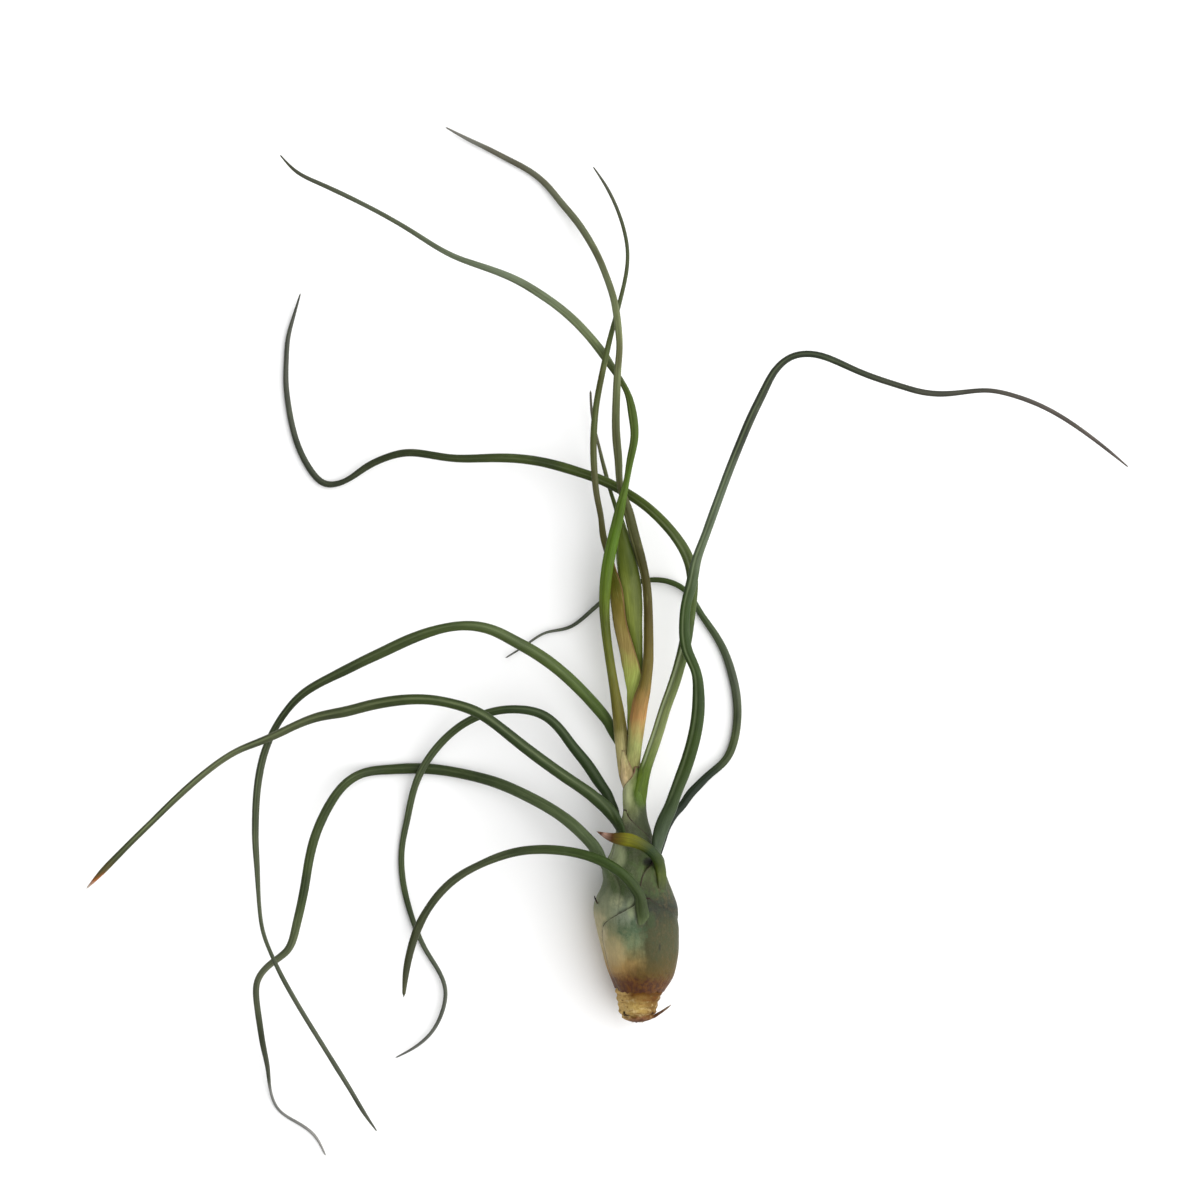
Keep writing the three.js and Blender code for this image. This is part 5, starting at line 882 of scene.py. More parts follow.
def sheath_material(name, stops, left, right, line, span=(0.2, 5.4, 6.6, 11.8), speckle=0.26, line_amt=0.95, mottled=0.7, bulb=True):
    """Papery, scaly skin. Three runs of colour follow the height: the middle, the left side, paler
    with its own colour and painted light, and the right side, duller with its own colour and painted shade."""
    n = Nodes(name, rough=0.6, spec=0.25)
    lf = n.split(n.attr("lf"))
    obj = n.new("ShaderNodeTexCoord").outputs["Object"]
    mm = n.scale(obj, (1000.0, 1000.0, 1000.0))
    p = n.split(mm)
    warp = n.noise(n.scale(mm, (0.22, 0.14, 0.22)), 1.0, 3.0, 0.55)
    warp2 = n.noise(n.scale(mm, (0.31, 0.20, 0.27)), 1.3, 3.0, 0.55)
    streak = n.noise(n.scale(mm, (1.9, 0.20, 1.9)), 1.0, 4.0, 0.6)
    fibre = n.noise(n.scale(mm, (6.5, 0.45, 6.5)), 1.0, 3.0, 0.6)
    mottle = n.noise(n.scale(mm, (0.55, 0.42, 0.55)), 1.0, 4.0, 0.6)
    blotch = n.noise(n.scale(mm, (1.0, 0.7, 1.0)), 1.0, 4.0, 0.65)
    grain = n.noise(n.scale(mm, (7.0, 6.0, 7.0)), 1.0, 3.0, 0.7)
    y = n.math("ADD", p[1], n.math("MULTIPLY", n.math("SUBTRACT", warp, 0.5), 6.0))
    y = n.math("ADD", y, n.math("MULTIPLY", n.math("SUBTRACT", streak, 0.5), 1.6))
    share = n.map(y, -96.0, -16.0, 0.0, 1.0, "LINEAR")
    px = n.math("ADD", p[0], n.math("MULTIPLY", n.math("SUBTRACT", warp2, 0.5), 7.0))
    base = n.ramp(share, stops)
    lit_side_x, shade_side_x = px, px
    if bulb:
        # the painted-light side reaches further towards the foot, the painted-shade side further up the neck
        lit_side_x = n.math("SUBTRACT", px, n.map(y, -77.5, -84.0, 0.0, 3.2))
        shade_side_x = n.math("ADD", px, n.map(y, -57.0, -49.0, 0.0, 0.9))
    # painted light on the left side and painted shade on the right side, over each side's own colour
    base = n.mix(n.map(lit_side_x, span[1], span[0]), base, n.ramp(share, left))
    base = n.mix(n.map(shade_side_x, span[2], span[3]), base, n.ramp(share, right))
    # fibres and speckles fade where shade is painted
    shade_fade = n.map(shade_side_x, span[2], span[3], 1.0, 0.35)
    live = n.map(y, -87.0, -80.0) if bulb else 0.6
    if bulb:
        # dark green patches in a band, fresher green ones above it
        band = n.math("MULTIPLY", n.map(p[1], -71.0, -75.5), n.map(p[1], -81.5, -78.0))
        band = n.math("MULTIPLY", band, n.math("MULTIPLY", n.map(px, 2.5, 5.5), n.map(px, 14.0, 10.0)))
        base = n.mix(n.math("MULTIPLY", band, n.map(mottle, 0.46, 0.62, 0.0, mottled)), base, "30492e")
        upper = n.math("MULTIPLY", n.map(p[1], -70.0, -66.0), n.map(p[1], -52.0, -56.0))
        base = n.mix(n.math("MULTIPLY", upper, n.map(mottle, 0.45, 0.62, 0.0, 0.55)), base, "3c5121")
        base = n.mix(n.math("MULTIPLY", spot(n, p, 7.6, -79.0, 4.6, 4.2), n.map(mottle, 0.35, 0.6, 0.1, 0.35)), base, "53684b")
        # brown blotches on the right and at the foot
        side = n.math("MULTIPLY", n.map(px, 11.5, 14.5), n.map(p[1], -60.0, -66.0))
        base = n.mix(n.math("MULTIPLY", side, n.map(blotch, 0.48, 0.66, 0.0, 0.45)), base, "4f4123")
        base = n.mix(n.math("MULTIPLY", side, n.map(blotch, 0.46, 0.32, 0.0, 0.40)), base, "283a21")
        foot = n.math("ADD", p[1], n.math("MULTIPLY", n.math("SUBTRACT", blotch, 0.5), 7.0))
        base = n.mix(n.map(foot, -88.6, -92.4, 0.0, 0.75), base, n.mix(n.map(blotch, 0.40, 0.62), "3e1504", "633904"))
        # painted shade in the mouth of the stub's sheath, a nick, and painted shadow in the fold beside the front blade
        base = n.mix(n.math("MULTIPLY", spot(n, p, 12.0, -59.03, 2.3, 1.5, 15.0), 0.95), base, "040404")
        base = n.mix(n.math("MULTIPLY", spot(n, p, 14.9, -81.74, 0.42, 1.5), 0.8), base, "151804")
        base = n.mix(n.math("MULTIPLY", spot(n, p, 12.6, -74.44, 1.5, 3.0), 0.8), base, "23340e")
        base = n.mix(n.math("MULTIPLY", spot(n, p, 2.4, -83.36, 4.6, 4.6), 0.4), base, "b8a578")
        base = n.mix(n.math("MULTIPLY", spot(n, p, 3.4, -69.57, 2.6, 2.4), n.map(mottle, 0.4, 0.6, 0.2, 0.8)), base, "9ea17c")
        # painted highlight on the rim beside the front blade, and pale skin where the stub comes out
        base = n.mix(n.math("MULTIPLY", spot(n, p, 7.3, -71.20, 1.6, 3.6), 0.8), base, "929e78")
        base = n.mix(n.math("MULTIPLY", spot(n, p, 15.4, -61.47, 2.4, 2.8), 0.55), base, "68742b")
        base = n.mix(n.math("MULTIPLY", spot(n, p, 3.4, -57.41, 3.2, 4.4, 12.0), 0.9), base, "a5b083")
        # painted light on the far left, which lies in half light
        west_painted_light = n.math("MULTIPLY", n.map(px, 1.4, -1.0), n.math("MULTIPLY", n.map(p[1], -70.5, -74.5), n.map(p[1], -87.0, -82.5)))
        base = n.mix(n.math("MULTIPLY", west_painted_light, 0.6), base, "c7b88f")
        base = n.mix(n.math("MULTIPLY", spot(n, p, 10.0, -39.84, 2.7, 5.8, 11.0), 0.85), base, "476104")
        base = n.mix(n.math("MULTIPLY", spot(n, p, 5.6, -40.92, 2.5, 6.4, 11.0), 0.8), base, "b4bb89")
    base = n.mix(n.map(streak, 0.40, 0.56, 0.12, 0.0), base, "3a3a1e")
    base = n.mix(n.math("MULTIPLY", n.map(fibre, 0.58, 0.78, 0.0, 0.12), n.math("MULTIPLY", live, shade_fade)), base, "a1a37f")
    base = n.mix(n.math("MULTIPLY", n.map(grain, 0.50, 0.68, 0.0, speckle), n.math("MULTIPLY", live, shade_fade)), base, "a1a58b")
    base = n.mix(n.math("MULTIPLY", n.map(grain, 0.44, 0.32, 0.0, 0.35), live), base, "262f15")
    edge = n.math("ADD", lf[2], n.math("MULTIPLY", n.math("SUBTRACT", grain, 0.5), 0.25))
    # painted highlight along the margins, none on the side with painted shade
    base = n.mix(n.math("MULTIPLY", n.map(edge, 1.6, 0.5), n.map(shade_side_x, span[2], span[3], 0.12, 0.0)), base, "969a7c")
    ink = n.math("MULTIPLY", n.map(edge, 0.50, 0.16), n.map(mottle, 0.32, 0.52, 0.35 * line_amt, line_amt))
    if bulb:
        # the margins all but vanish on the upper right
        gone = n.math("MULTIPLY", n.map(p[0], 13.2, 15.4), n.map(p[2], 12.0, 15.0))
        ink = n.math("MULTIPLY", ink, n.map(gone, 0.0, 1.0, 1.0, 0.25, "LINEAR"))
    base = n.mix(ink, base, line)
    h = n.math("ADD", n.math("MULTIPLY", fibre, 0.35), n.math("MULTIPLY", grain, 0.5))
    h = n.math("ADD", h, n.math("MULTIPLY", mottle, 1.8))
    rough = n.map(grain, 0.35, 0.7, 0.48, 0.74, "LINEAR")
    return n.done(base, rough, n.bump(h, 0.6, 0.00024))


def stem_material():
    n = Nodes("stem_wood", rough=0.8, spec=0.2)
    lf = n.split(n.attr("lf"))
    obj = n.new("ShaderNodeTexCoord").outputs["Object"]
    mm = n.scale(obj, (1000.0, 1000.0, 1000.0))
    warp = n.noise(n.scale(mm, (0.5, 0.3, 0.5)), 1.0, 4.0, 0.6)
    fibre = n.noise(n.scale(mm, (2.6, 0.8, 2.6)), 1.0, 3.0, 0.55)
    pore = n.cells(n.scale(mm, (1.5, 1.9, 1.5)), 1.0)
    grain = n.noise(n.scale(mm, (4.0, 3.0, 4.0)), 1.0, 3.0, 0.6)
    t = n.math("ADD", lf[0], n.math("MULTIPLY", n.math("SUBTRACT", warp, 0.5), 0.22))
    base = n.ramp(t, [(0.0, "280404"), (0.05, "5f3a26"), (0.1, "7e5b41"), (0.15, "61411b"), (0.29, "a98f51"), (0.42, "a3894d"), (0.74, "5f3a04"), (1.0, "432104")])
    p = n.split(mm)
    # painted light on the left side, painted shade on the right side
    base = n.mix(n.map(p[0], 8.0, 4.6, 0.0, 0.75), base, "d6b470")
    base = n.mix(n.map(p[0], 9.4, 13.0, 0.0, 0.75), base, "4d2f04")
    patch = n.noise(n.scale(mm, (0.55, 0.7, 0.55)), 1.0, 2.0, 0.5)
    base = n.mix(n.math("MULTIPLY", n.map(patch, 0.50, 0.70, 0.0, 0.6), n.map(t, 0.72, 0.56)), base, "c7b27f")
    base = n.mix(n.map(patch, 0.42, 0.30, 0.0, 0.7), base, "4f2b04")
    base = n.mix(n.map(fibre, 0.40, 0.58, 0.28, 0.0), base, "654104")
    base = n.mix(n.map(grain, 0.58, 0.78, 0.0, 0.1), base, "ccb88b")
    base = n.mix(n.map(pore, 0.10, 0.02, 0.0, 0.2), base, "4b2d04")
    # the pits and the groove under the rim painted near black: painted shade in these hollows
    base = n.mix(n.map(lf[1], 0.15, 0.75, 0.0, 0.94), base, "040404")
    band = n.noise(n.scale(mm, (0.35, 1.6, 0.35)), 1.0, 3.0, 0.6)
    base = n.mix(n.map(band, 0.52, 0.66, 0.0, 0.45), base, "5f3404")
    h = n.math("ADD", n.math("MULTIPLY", fibre, 1.0), n.math("MULTIPLY", n.map(pore, 0.0, 0.35), 0.8))
    h = n.math("ADD", h, grain)
    return n.done(base, n.map(grain, 0.3, 0.7, 0.65, 0.95, "LINEAR"), n.bump(h, 0.4, 0.0002))


def root_material():
    n = Nodes("root_bark", rough=0.85, spec=0.15)
    lc, lf = n.attr("lc"), n.split(n.attr("lf"))
    fibre = n.noise(n.scale(lc, (6.0, 6.0, 0.8)), 1.0, 4.0, 0.65)
    grain = n.noise(n.scale(lc, (9.0, 9.0, 7.0)), 1.0, 3.0, 0.7)
    base = n.ramp(n.math("ADD", lf[0], n.math("MULTIPLY", n.math("SUBTRACT", fibre, 0.5), 0.3)),
                  [(0.0, "6d4422"), (0.4, "5c3b21"), (0.75, "6c5643"), (1.0, "897a68")])
    base = n.mix(n.map(fibre, 0.38, 0.58, 0.65, 0.0), base, "1f0404")
    base = n.mix(n.map(grain, 0.55, 0.75, 0.0, 0.4), base, "a1896c")
    return n.done(base, None, n.bump(n.math("ADD", fibre, grain), 0.8, 0.0003))


def bract_material(name, stops, pale, edge_col, dark="2b4304", shade=None, veined=1.0):
    """Flower bract: smooth, veined lengthways, with a thin pale margin."""
    n = Nodes(name, rough=0.46, spec=0.2)
    lc, lf = n.attr("lc"), n.split(n.attr("lf"))
    vein = n.noise(n.scale(lc, (3.4, 3.4, 0.14)), 1.0, 3.0, 0.55)
    mottle = n.noise(n.scale(lc, (0.5, 0.5, 0.3)), 1.0, 3.0, 0.5)
    grain = n.noise(n.scale(lc, (9.0, 9.0, 6.0)), 1.0, 2.0, 0.6)
    base = n.ramp(n.math("ADD", lf[0], n.math("MULTIPLY", n.math("SUBTRACT", mottle, 0.5), 0.16)), stops)
    base = n.mix(n.map(vein, 0.40, 0.60, 0.30, 0.0), base, dark)
    less = n.map(lf[0], 0.45, 0.75, 1.0, veined)
    base = n.mix(n.math("MULTIPLY", n.map(vein, 0.58, 0.74, 0.0, 0.35), less), base, pale)
    base = n.mix(n.math("MULTIPLY", n.map(grain, 0.55, 0.75, 0.0, 0.18), less), base, pale)
    # painted shade on the right flank, and painted light on the left
    if shade:
        # a duller right flank
        obj = n.new("ShaderNodeTexCoord").outputs["Object"]
        x = n.split(n.scale(obj, (1000.0, 1000.0, 1000.0)))[0]
        x = n.math("ADD", x, n.math("MULTIPLY", n.math("SUBTRACT", vein, 0.5), 1.2))
        base = n.mix(n.map(x, shade[0], shade[1], 0.0, shade[2]), base, shade[3])
        base = n.mix(n.math("MULTIPLY", n.map(x, shade[0] + 0.8, shade[0] - 1.4, 0.0, 0.45), less), base, pale)
    base = n.mix(n.map(lf[2], 0.34, 0.10, 0.0, 0.9), base, edge_col)
    h = n.math("ADD", vein, n.math("MULTIPLY", grain, 0.3))
    return n.done(base, n.map(grain, 0.3, 0.7, 0.36, 0.55, "LINEAR"), n.bump(h, 0.5, 0.00014))


def floor_material():
    n = Nodes("pale_floor", rough=0.9, spec=0.1)
    obj = n.new("ShaderNodeTexCoord").outputs["Object"]
    grain = n.noise(obj, 900.0, 3.0, 0.6)
    return n.done(n.mix(n.map(grain, 0.3, 0.7, 0.0, 0.02), "f7f7f7", "f4f4f4"))


# sheath colours, by height up the bulb: 0 at Y -96 mm, 1 at Y -16 mm
BULB = [(0.0, "431e04"), (0.06, "573404"), (0.12, "7f6a3c"), (0.18, "747c57"), (0.23, "4f5d41"), (0.28, "767f6a"), (0.38, "3e4d28"), (0.58, "494b38"), (0.66, "87905b"), (1.0, "7e7c41")]
# the bulb's pale left run: its own tan colour, with painted light
LEFT_PALE_AND_LIT = [(0.0, "653804"), (0.05, "764911"), (0.10, "9e7e49"), (0.17, "a99868"), (0.25, "7a7e5b"), (0.33, "83896a"), (0.39, "4f5b38"), (0.62, "838f5d"), (0.75, "c7c396"), (1.0, "969661")]
# the bulb's dull right run: its own olive-brown colour, with painted shade
RIGHT_DULL_AND_SHADED = [(0.0, "3e1e04"), (0.08, "4f3c09"), (0.16, "3a3818"), (0.25, "2f3011"), (0.31, "0b1304"), (0.43, "38401b"), (0.62, "2d361b"), (0.71, "3c5104"), (1.0, "38420b")]
TAN = [(0.0, "7a4d15"), (0.05, "9e7a45"), (0.1, "d9c192"), (0.22, "e7d9b8"), (0.29, "e4d6b4"), (0.32, "c3c7a1"), (0.36, "7c8b5d"), (1.0, "3c2f21")]
NECK = [(0.0, "7a6a41"), (0.6, "7a8359"), (0.68, "969865"), (0.73, "a59668"), (0.77, "8b784b"), (0.8, "9c9e61"), (0.86, "a1a55d"), (1.0, "87893c")]
# the neck's pale left run is painted light
NECK_L_LIT = [(0.0, "897a51"), (0.66, "b4b485"), (0.735, "ddc392"), (0.78, "d9c38d"), (0.84, "d2ca8b"), (1.0, "b0a568")]
# the neck's dark right run is painted shade
NECK_R_SHADED = [(0.0, "4d411b"), (0.66, "4d5b21"), (0.735, "7a7a41"), (0.77, "655818"), (0.80, "6c7434"), (0.86, "7a8138"), (1.0, "636728")]
NARROW = (5.0, 7.0, 7.6, 9.4)
M = {
    "L5": (blade_material("blade_front", [(0.0, "57654b"), (0.03, "5f6a45"), (0.06, "3c4921"), (0.08, "333e15"), (0.22, "2e4204"), (0.6, "474d34"), (0.85, "31361a"), (1.0, "45452d")], "7a8963", "879470", 0.6, deep=0.15), sheath_material("skin_front", BULB, LEFT_PALE_AND_LIT, RIGHT_DULL_AND_SHADED, "220404")),
    "L6": (blade_material("blade_stub", [(0.0, "2b2f1b"), (0.2, "3e4904"), (0.5, "1a2f04"), (0.72, "6c6a04"), (0.86, "492804"), (0.94, "a58374"), (0.97, "4b1e09"), (1.0, "7c5b49")], "828f51", "6c7c41", 0.3, 0.10), sheath_material("skin_stub", BULB, LEFT_PALE_AND_LIT, RIGHT_DULL_AND_SHADED, "281509")),
    "L4": (blade_material("blade_left", [(0.0, "5b6a45"), (0.3, "2b3711"), (0.6, "38441a"), (0.7, "5b5f47"), (0.8, "2b2e1b"), (0.87, "4b4d41"), (0.89, "7f7f7c"), (1.0, "8f8d89")], "7a8961", "6e7a57", 0.5), sheath_material("skin_left", BULB, LEFT_PALE_AND_LIT, RIGHT_DULL_AND_SHADED, "220e04", line_amt=0.25)),
    # the low right blade is near black from its root to about a fifth of its length: painted shade where it lies under
    # the tall right blade
    "L9": (blade_material("blade_right_low", [(0.0, "040e04"), (0.21, "091b04"), (0.3, "47512d"), (0.42, "454b3a"), (0.62, "314509"), (0.72, "343a0e"), (0.8, "555d49"), (1.0, "595852")], "67765b", "5d6a4d", 0.4), sheath_material("skin_right_low", BULB, LEFT_PALE_AND_LIT, RIGHT_DULL_AND_SHADED, "1f0904")),
    "L8": (blade_material("blade_right_tall", [(0.0, "495541"), (0.13, "314304"), (0.3, "2d4304"), (0.37, "576349"), (0.42, "57634d"), (0.5, "363a2d"), (0.65, "232b18"), (1.0, "615753")], "7a8761", "7c8963", 0.8, deep=0.25), sheath_material("skin_right_tall", BULB, LEFT_PALE_AND_LIT, RIGHT_DULL_AND_SHADED, "220e04")),
    "L2": (blade_material("blade_long_left", [(0.0, "50603a"), (0.04, "344311"), (0.4, "2e3b0e"), (0.7, "55593e"), (0.94, "34381b"), (0.97, "4f411b"), (0.98, "965115"), (1.0, "d2c8bb")], "7d895d", "7a855d", 0.6, deep=0.4), sheath_material("skin_long_left", BULB, LEFT_PALE_AND_LIT, RIGHT_DULL_AND_SHADED, "260904", mottled=0.2)),
    "L3": (blade_material("blade_curl", [(0.0, "36431b"), (0.1, "233404"), (0.3, "34411b"), (0.5, "454f31"), (0.7, "3a4521"), (0.85, "53574b"), (1.0, "61615d")], "77865b", "6c7a55", 0.5, deep=0.35), sheath_material("skin_curl", BULB, LEFT_PALE_AND_LIT, RIGHT_DULL_AND_SHADED, "220e04")),
    "L1": (blade_material("blade_back", [(0.0, "3c510e"), (0.2, "435121"), (0.5, "2e361b"), (0.7, "4b503a"), (1.0, "4b4d41")], "77865b", "6e7c55", 0.5), sheath_material("skin_back", BULB, LEFT_PALE_AND_LIT, RIGHT_DULL_AND_SHADED, "220e04")),
    "L7": (blade_material("blade_neck", [(0.0, "455904"), (0.04, "4f6504"), (0.09, "747e49"), (0.2, "314304"), (0.3, "4b5926"), (0.4, "3a4904"), (0.7, "2b311b"), (1.0, "4d4d47")], "82925d", "8f9a74", 0.95), sheath_material("skin_neck", BULB, LEFT_PALE_AND_LIT, RIGHT_DULL_AND_SHADED, "6c4538", mottled=0.0)),
    "L10": (blade_material("bract_left", [(0.0, "c39e78"), (0.06, "c3b87e"), (0.1, "6c6326"), (0.3, "496804"), (0.5, "364709"), (0.58, "616c49"), (0.68, "67725b"), (1.0, "414138")], "96a15d", "8f9a61", 0.35, 0.08, dark="282b04"), sheath_material("bract_left_base", NECK, NECK_L_LIT, NECK_R_SHADED, "74513a", NARROW, 0.15, 0.6, bulb=False)),
    "L11": (blade_material("bract_right", [(0.0, "968b55"), (0.06, "9ea561"), (0.1, "a57a45"), (0.14, "685b21"), (0.3, "313404"), (0.6, "67724b"), (0.9, "575a4d"), (1.0, "70706a")], "a5a168", "969668", 0.30, 0.08, dark="362604"), sheath_material("bract_right_base", NECK, NECK_L_LIT, NECK_R_SHADED, "74513a", NARROW, 0.15, 0.5, bulb=False)),
    "L12": (blade_material("bract_back", [(0.0, "4d4d1b"), (0.06, "4b4b21"), (0.15, "535134"), (0.3, "465126"), (0.55, "3c4b21"), (0.8, "3c472f"), (1.0, "494d41")], "a5a168", "7f8763", 0.3, 0.08, dark="362b04"), bract_material("bract_back_clasp", [(0.0, "899a43"), (0.3, "a5b459"), (0.47, "927f49"), (0.68, "746828"), (0.82, "454904"), (0.9, "383e04"), (1.0, "4d4d1b")], "a9a16c", "6a4d2b", dark="5b4d15")),
    "L13": (blade_material("floral_long", [(0.0, "47610e"), (0.3, "475121"), (0.7, "53513a"), (1.0, "5b5749")], "828f5f", "7a8359", 0.3, 0.08), None),
    "OLD": (blade_material("old_point", [(0.0, "3a2811"), (0.5, "110404"), (1.0, "040404")], "5b4d38", "3a2811", 0.2, dark="040404"), sheath_material("old_skin", TAN, TAN, BULB, "110404", (-2.0, -1.0, 3.0, 7.0), line_amt=0.8, bulb=False)),
}


# ---------------------------------------------------------------- the pieces
NAMES = {"L5": "leaf_front", "L6": "leaf_stub", "L4": "leaf_left", "L9": "leaf_right_low", "L8": "leaf_right_tall",
         "L2": "leaf_long_left", "L3": "leaf_curl", "L1": "leaf_back", "L7": "leaf_neck", "L10": "bract_left",
         "L11": "bract_right", "L12": "bract_back", "L13": "floral_bract_long", "OLD": "old_leaf_base"}
# [share of the length, direction of the groove, its depth]
GROOVES = {
    # near the root the front blade's pale groove turns onto its left flank, where its pale colour also paints light
    "L5": [[0, 150, 0.0], [0.03, 146, 0.16], [0.07, 138, 0.3], [0.12, 125, 0.28], [0.4, 112, 0.3], [0.8, 100, 0.3], [1, 95, 0.1]],
    "L6": [[0, 100, 0.0], [0.3, 105, 0.05], [0.5, 110, 0.2], [1, 100, 0.2]],
    "L4": [[0, 80, 0.1], [0.1, 75, 0.35], [0.5, 80, 0.35], [0.85, 90, 0.3], [1, 90, 0.1]],
    "L9": [[0, 120, 0.1], [0.2, 120, 0.35], [0.7, 110, 0.35], [1, 90, 0.1]],
    "L8": [[0, 140, 0.0], [0.05, 130, 0.1], [0.09, 120, 0.4], [0.2, 112, 0.4], [0.45, 100, 0.45], [0.7, 90, 0.3], [1, 90, 0.1]],
    "L2": [[0, 80, 0.2], [0.1, 70, 0.4], [0.5, 80, 0.5], [0.85, 88, 0.7], [1, 90, 0.2]],
    "L3": [[0, 75, 0.2], [0.2, 70, 0.4], [0.6, 80, 0.4], [1, 90, 0.1]],
    "L1": [[0, 80, 0.2], [0.2, 72, 0.45], [0.6, 85, 0.45], [1, 90, 0.1]],
    "L7": [[0, 150, 0.0], [0.04, 138, 0.05], [0.06, 126, 0.55], [0.09, 120, 0.75], [0.14, 116, 0.7], [0.22, 108, 0.45], [0.4, 95, 0.3], [0.7, 90, 0.25], [1, 90, 0.1]],
    "L10": [[0, 150, 0.1], [0.2, 140, 0.35], [0.5, 110, 0.4], [1, 90, 0.1]],
    "L11": [[0, 160, 0.1], [0.2, 150, 0.45], [0.5, 110, 0.4], [1, 90, 0.1]],
    "L12": [[0, 40, 0.2], [0.1, 40, 0.5], [0.3, 70, 0.4], [1, 90, 0.1]],
    "L13": [[0, 90, 0.3], [1, 90, 0.2]],
}
# where each blade runs down into its sheath: [angle, y of its root, height, width]
RIBS = {"L5": (15, -70.93, 0.75, 2.0), "L4": (-58, -59.57, 0.6, 1.9), "L6": (46, -61.20, 0.7, 1.7), "L9": (120, -58.49, 0.5, 1.7),
        "L8": (75, -56.87, 0.5, 2.2), "L2": (-47, -49.84, 0.5, 2.0), "L3": (245, -50.92, 0.4, 1.8), "L7": (26, -36.87, 0.5, 1.6),
        "L1": (200, -31.19, 0.4, 1.6)}

# how far each torn lower edge wanders, in mm
RAGGED = {"L5": 0.55, "OLD": 0.5, "L4": 0.4, "L6": 0.4}

for key, node in NAMES.items():
    shape = Shape()
    mats = [m for m in M[key] if m is not None]
    if key in SHEATHS:
        sheath(shape, key, 1, RIBS.get(key), ragged=RAGGED.get(key, 0.0))
    if key == "L12":
        clasp(shape, 1)
    if key == "OLD":
        blade(shape, OLD_POINT, [[0, 90, 0.2], [1, 90, 0.2]], 0, step=0.3, around=14, seed=3.0, tip=1.2)
    else:
        blade(shape, BLADES[key], GROOVES[key], 0, seed=float(len(key) + ord(key[-1])))
    shape.make(node, mats, node)


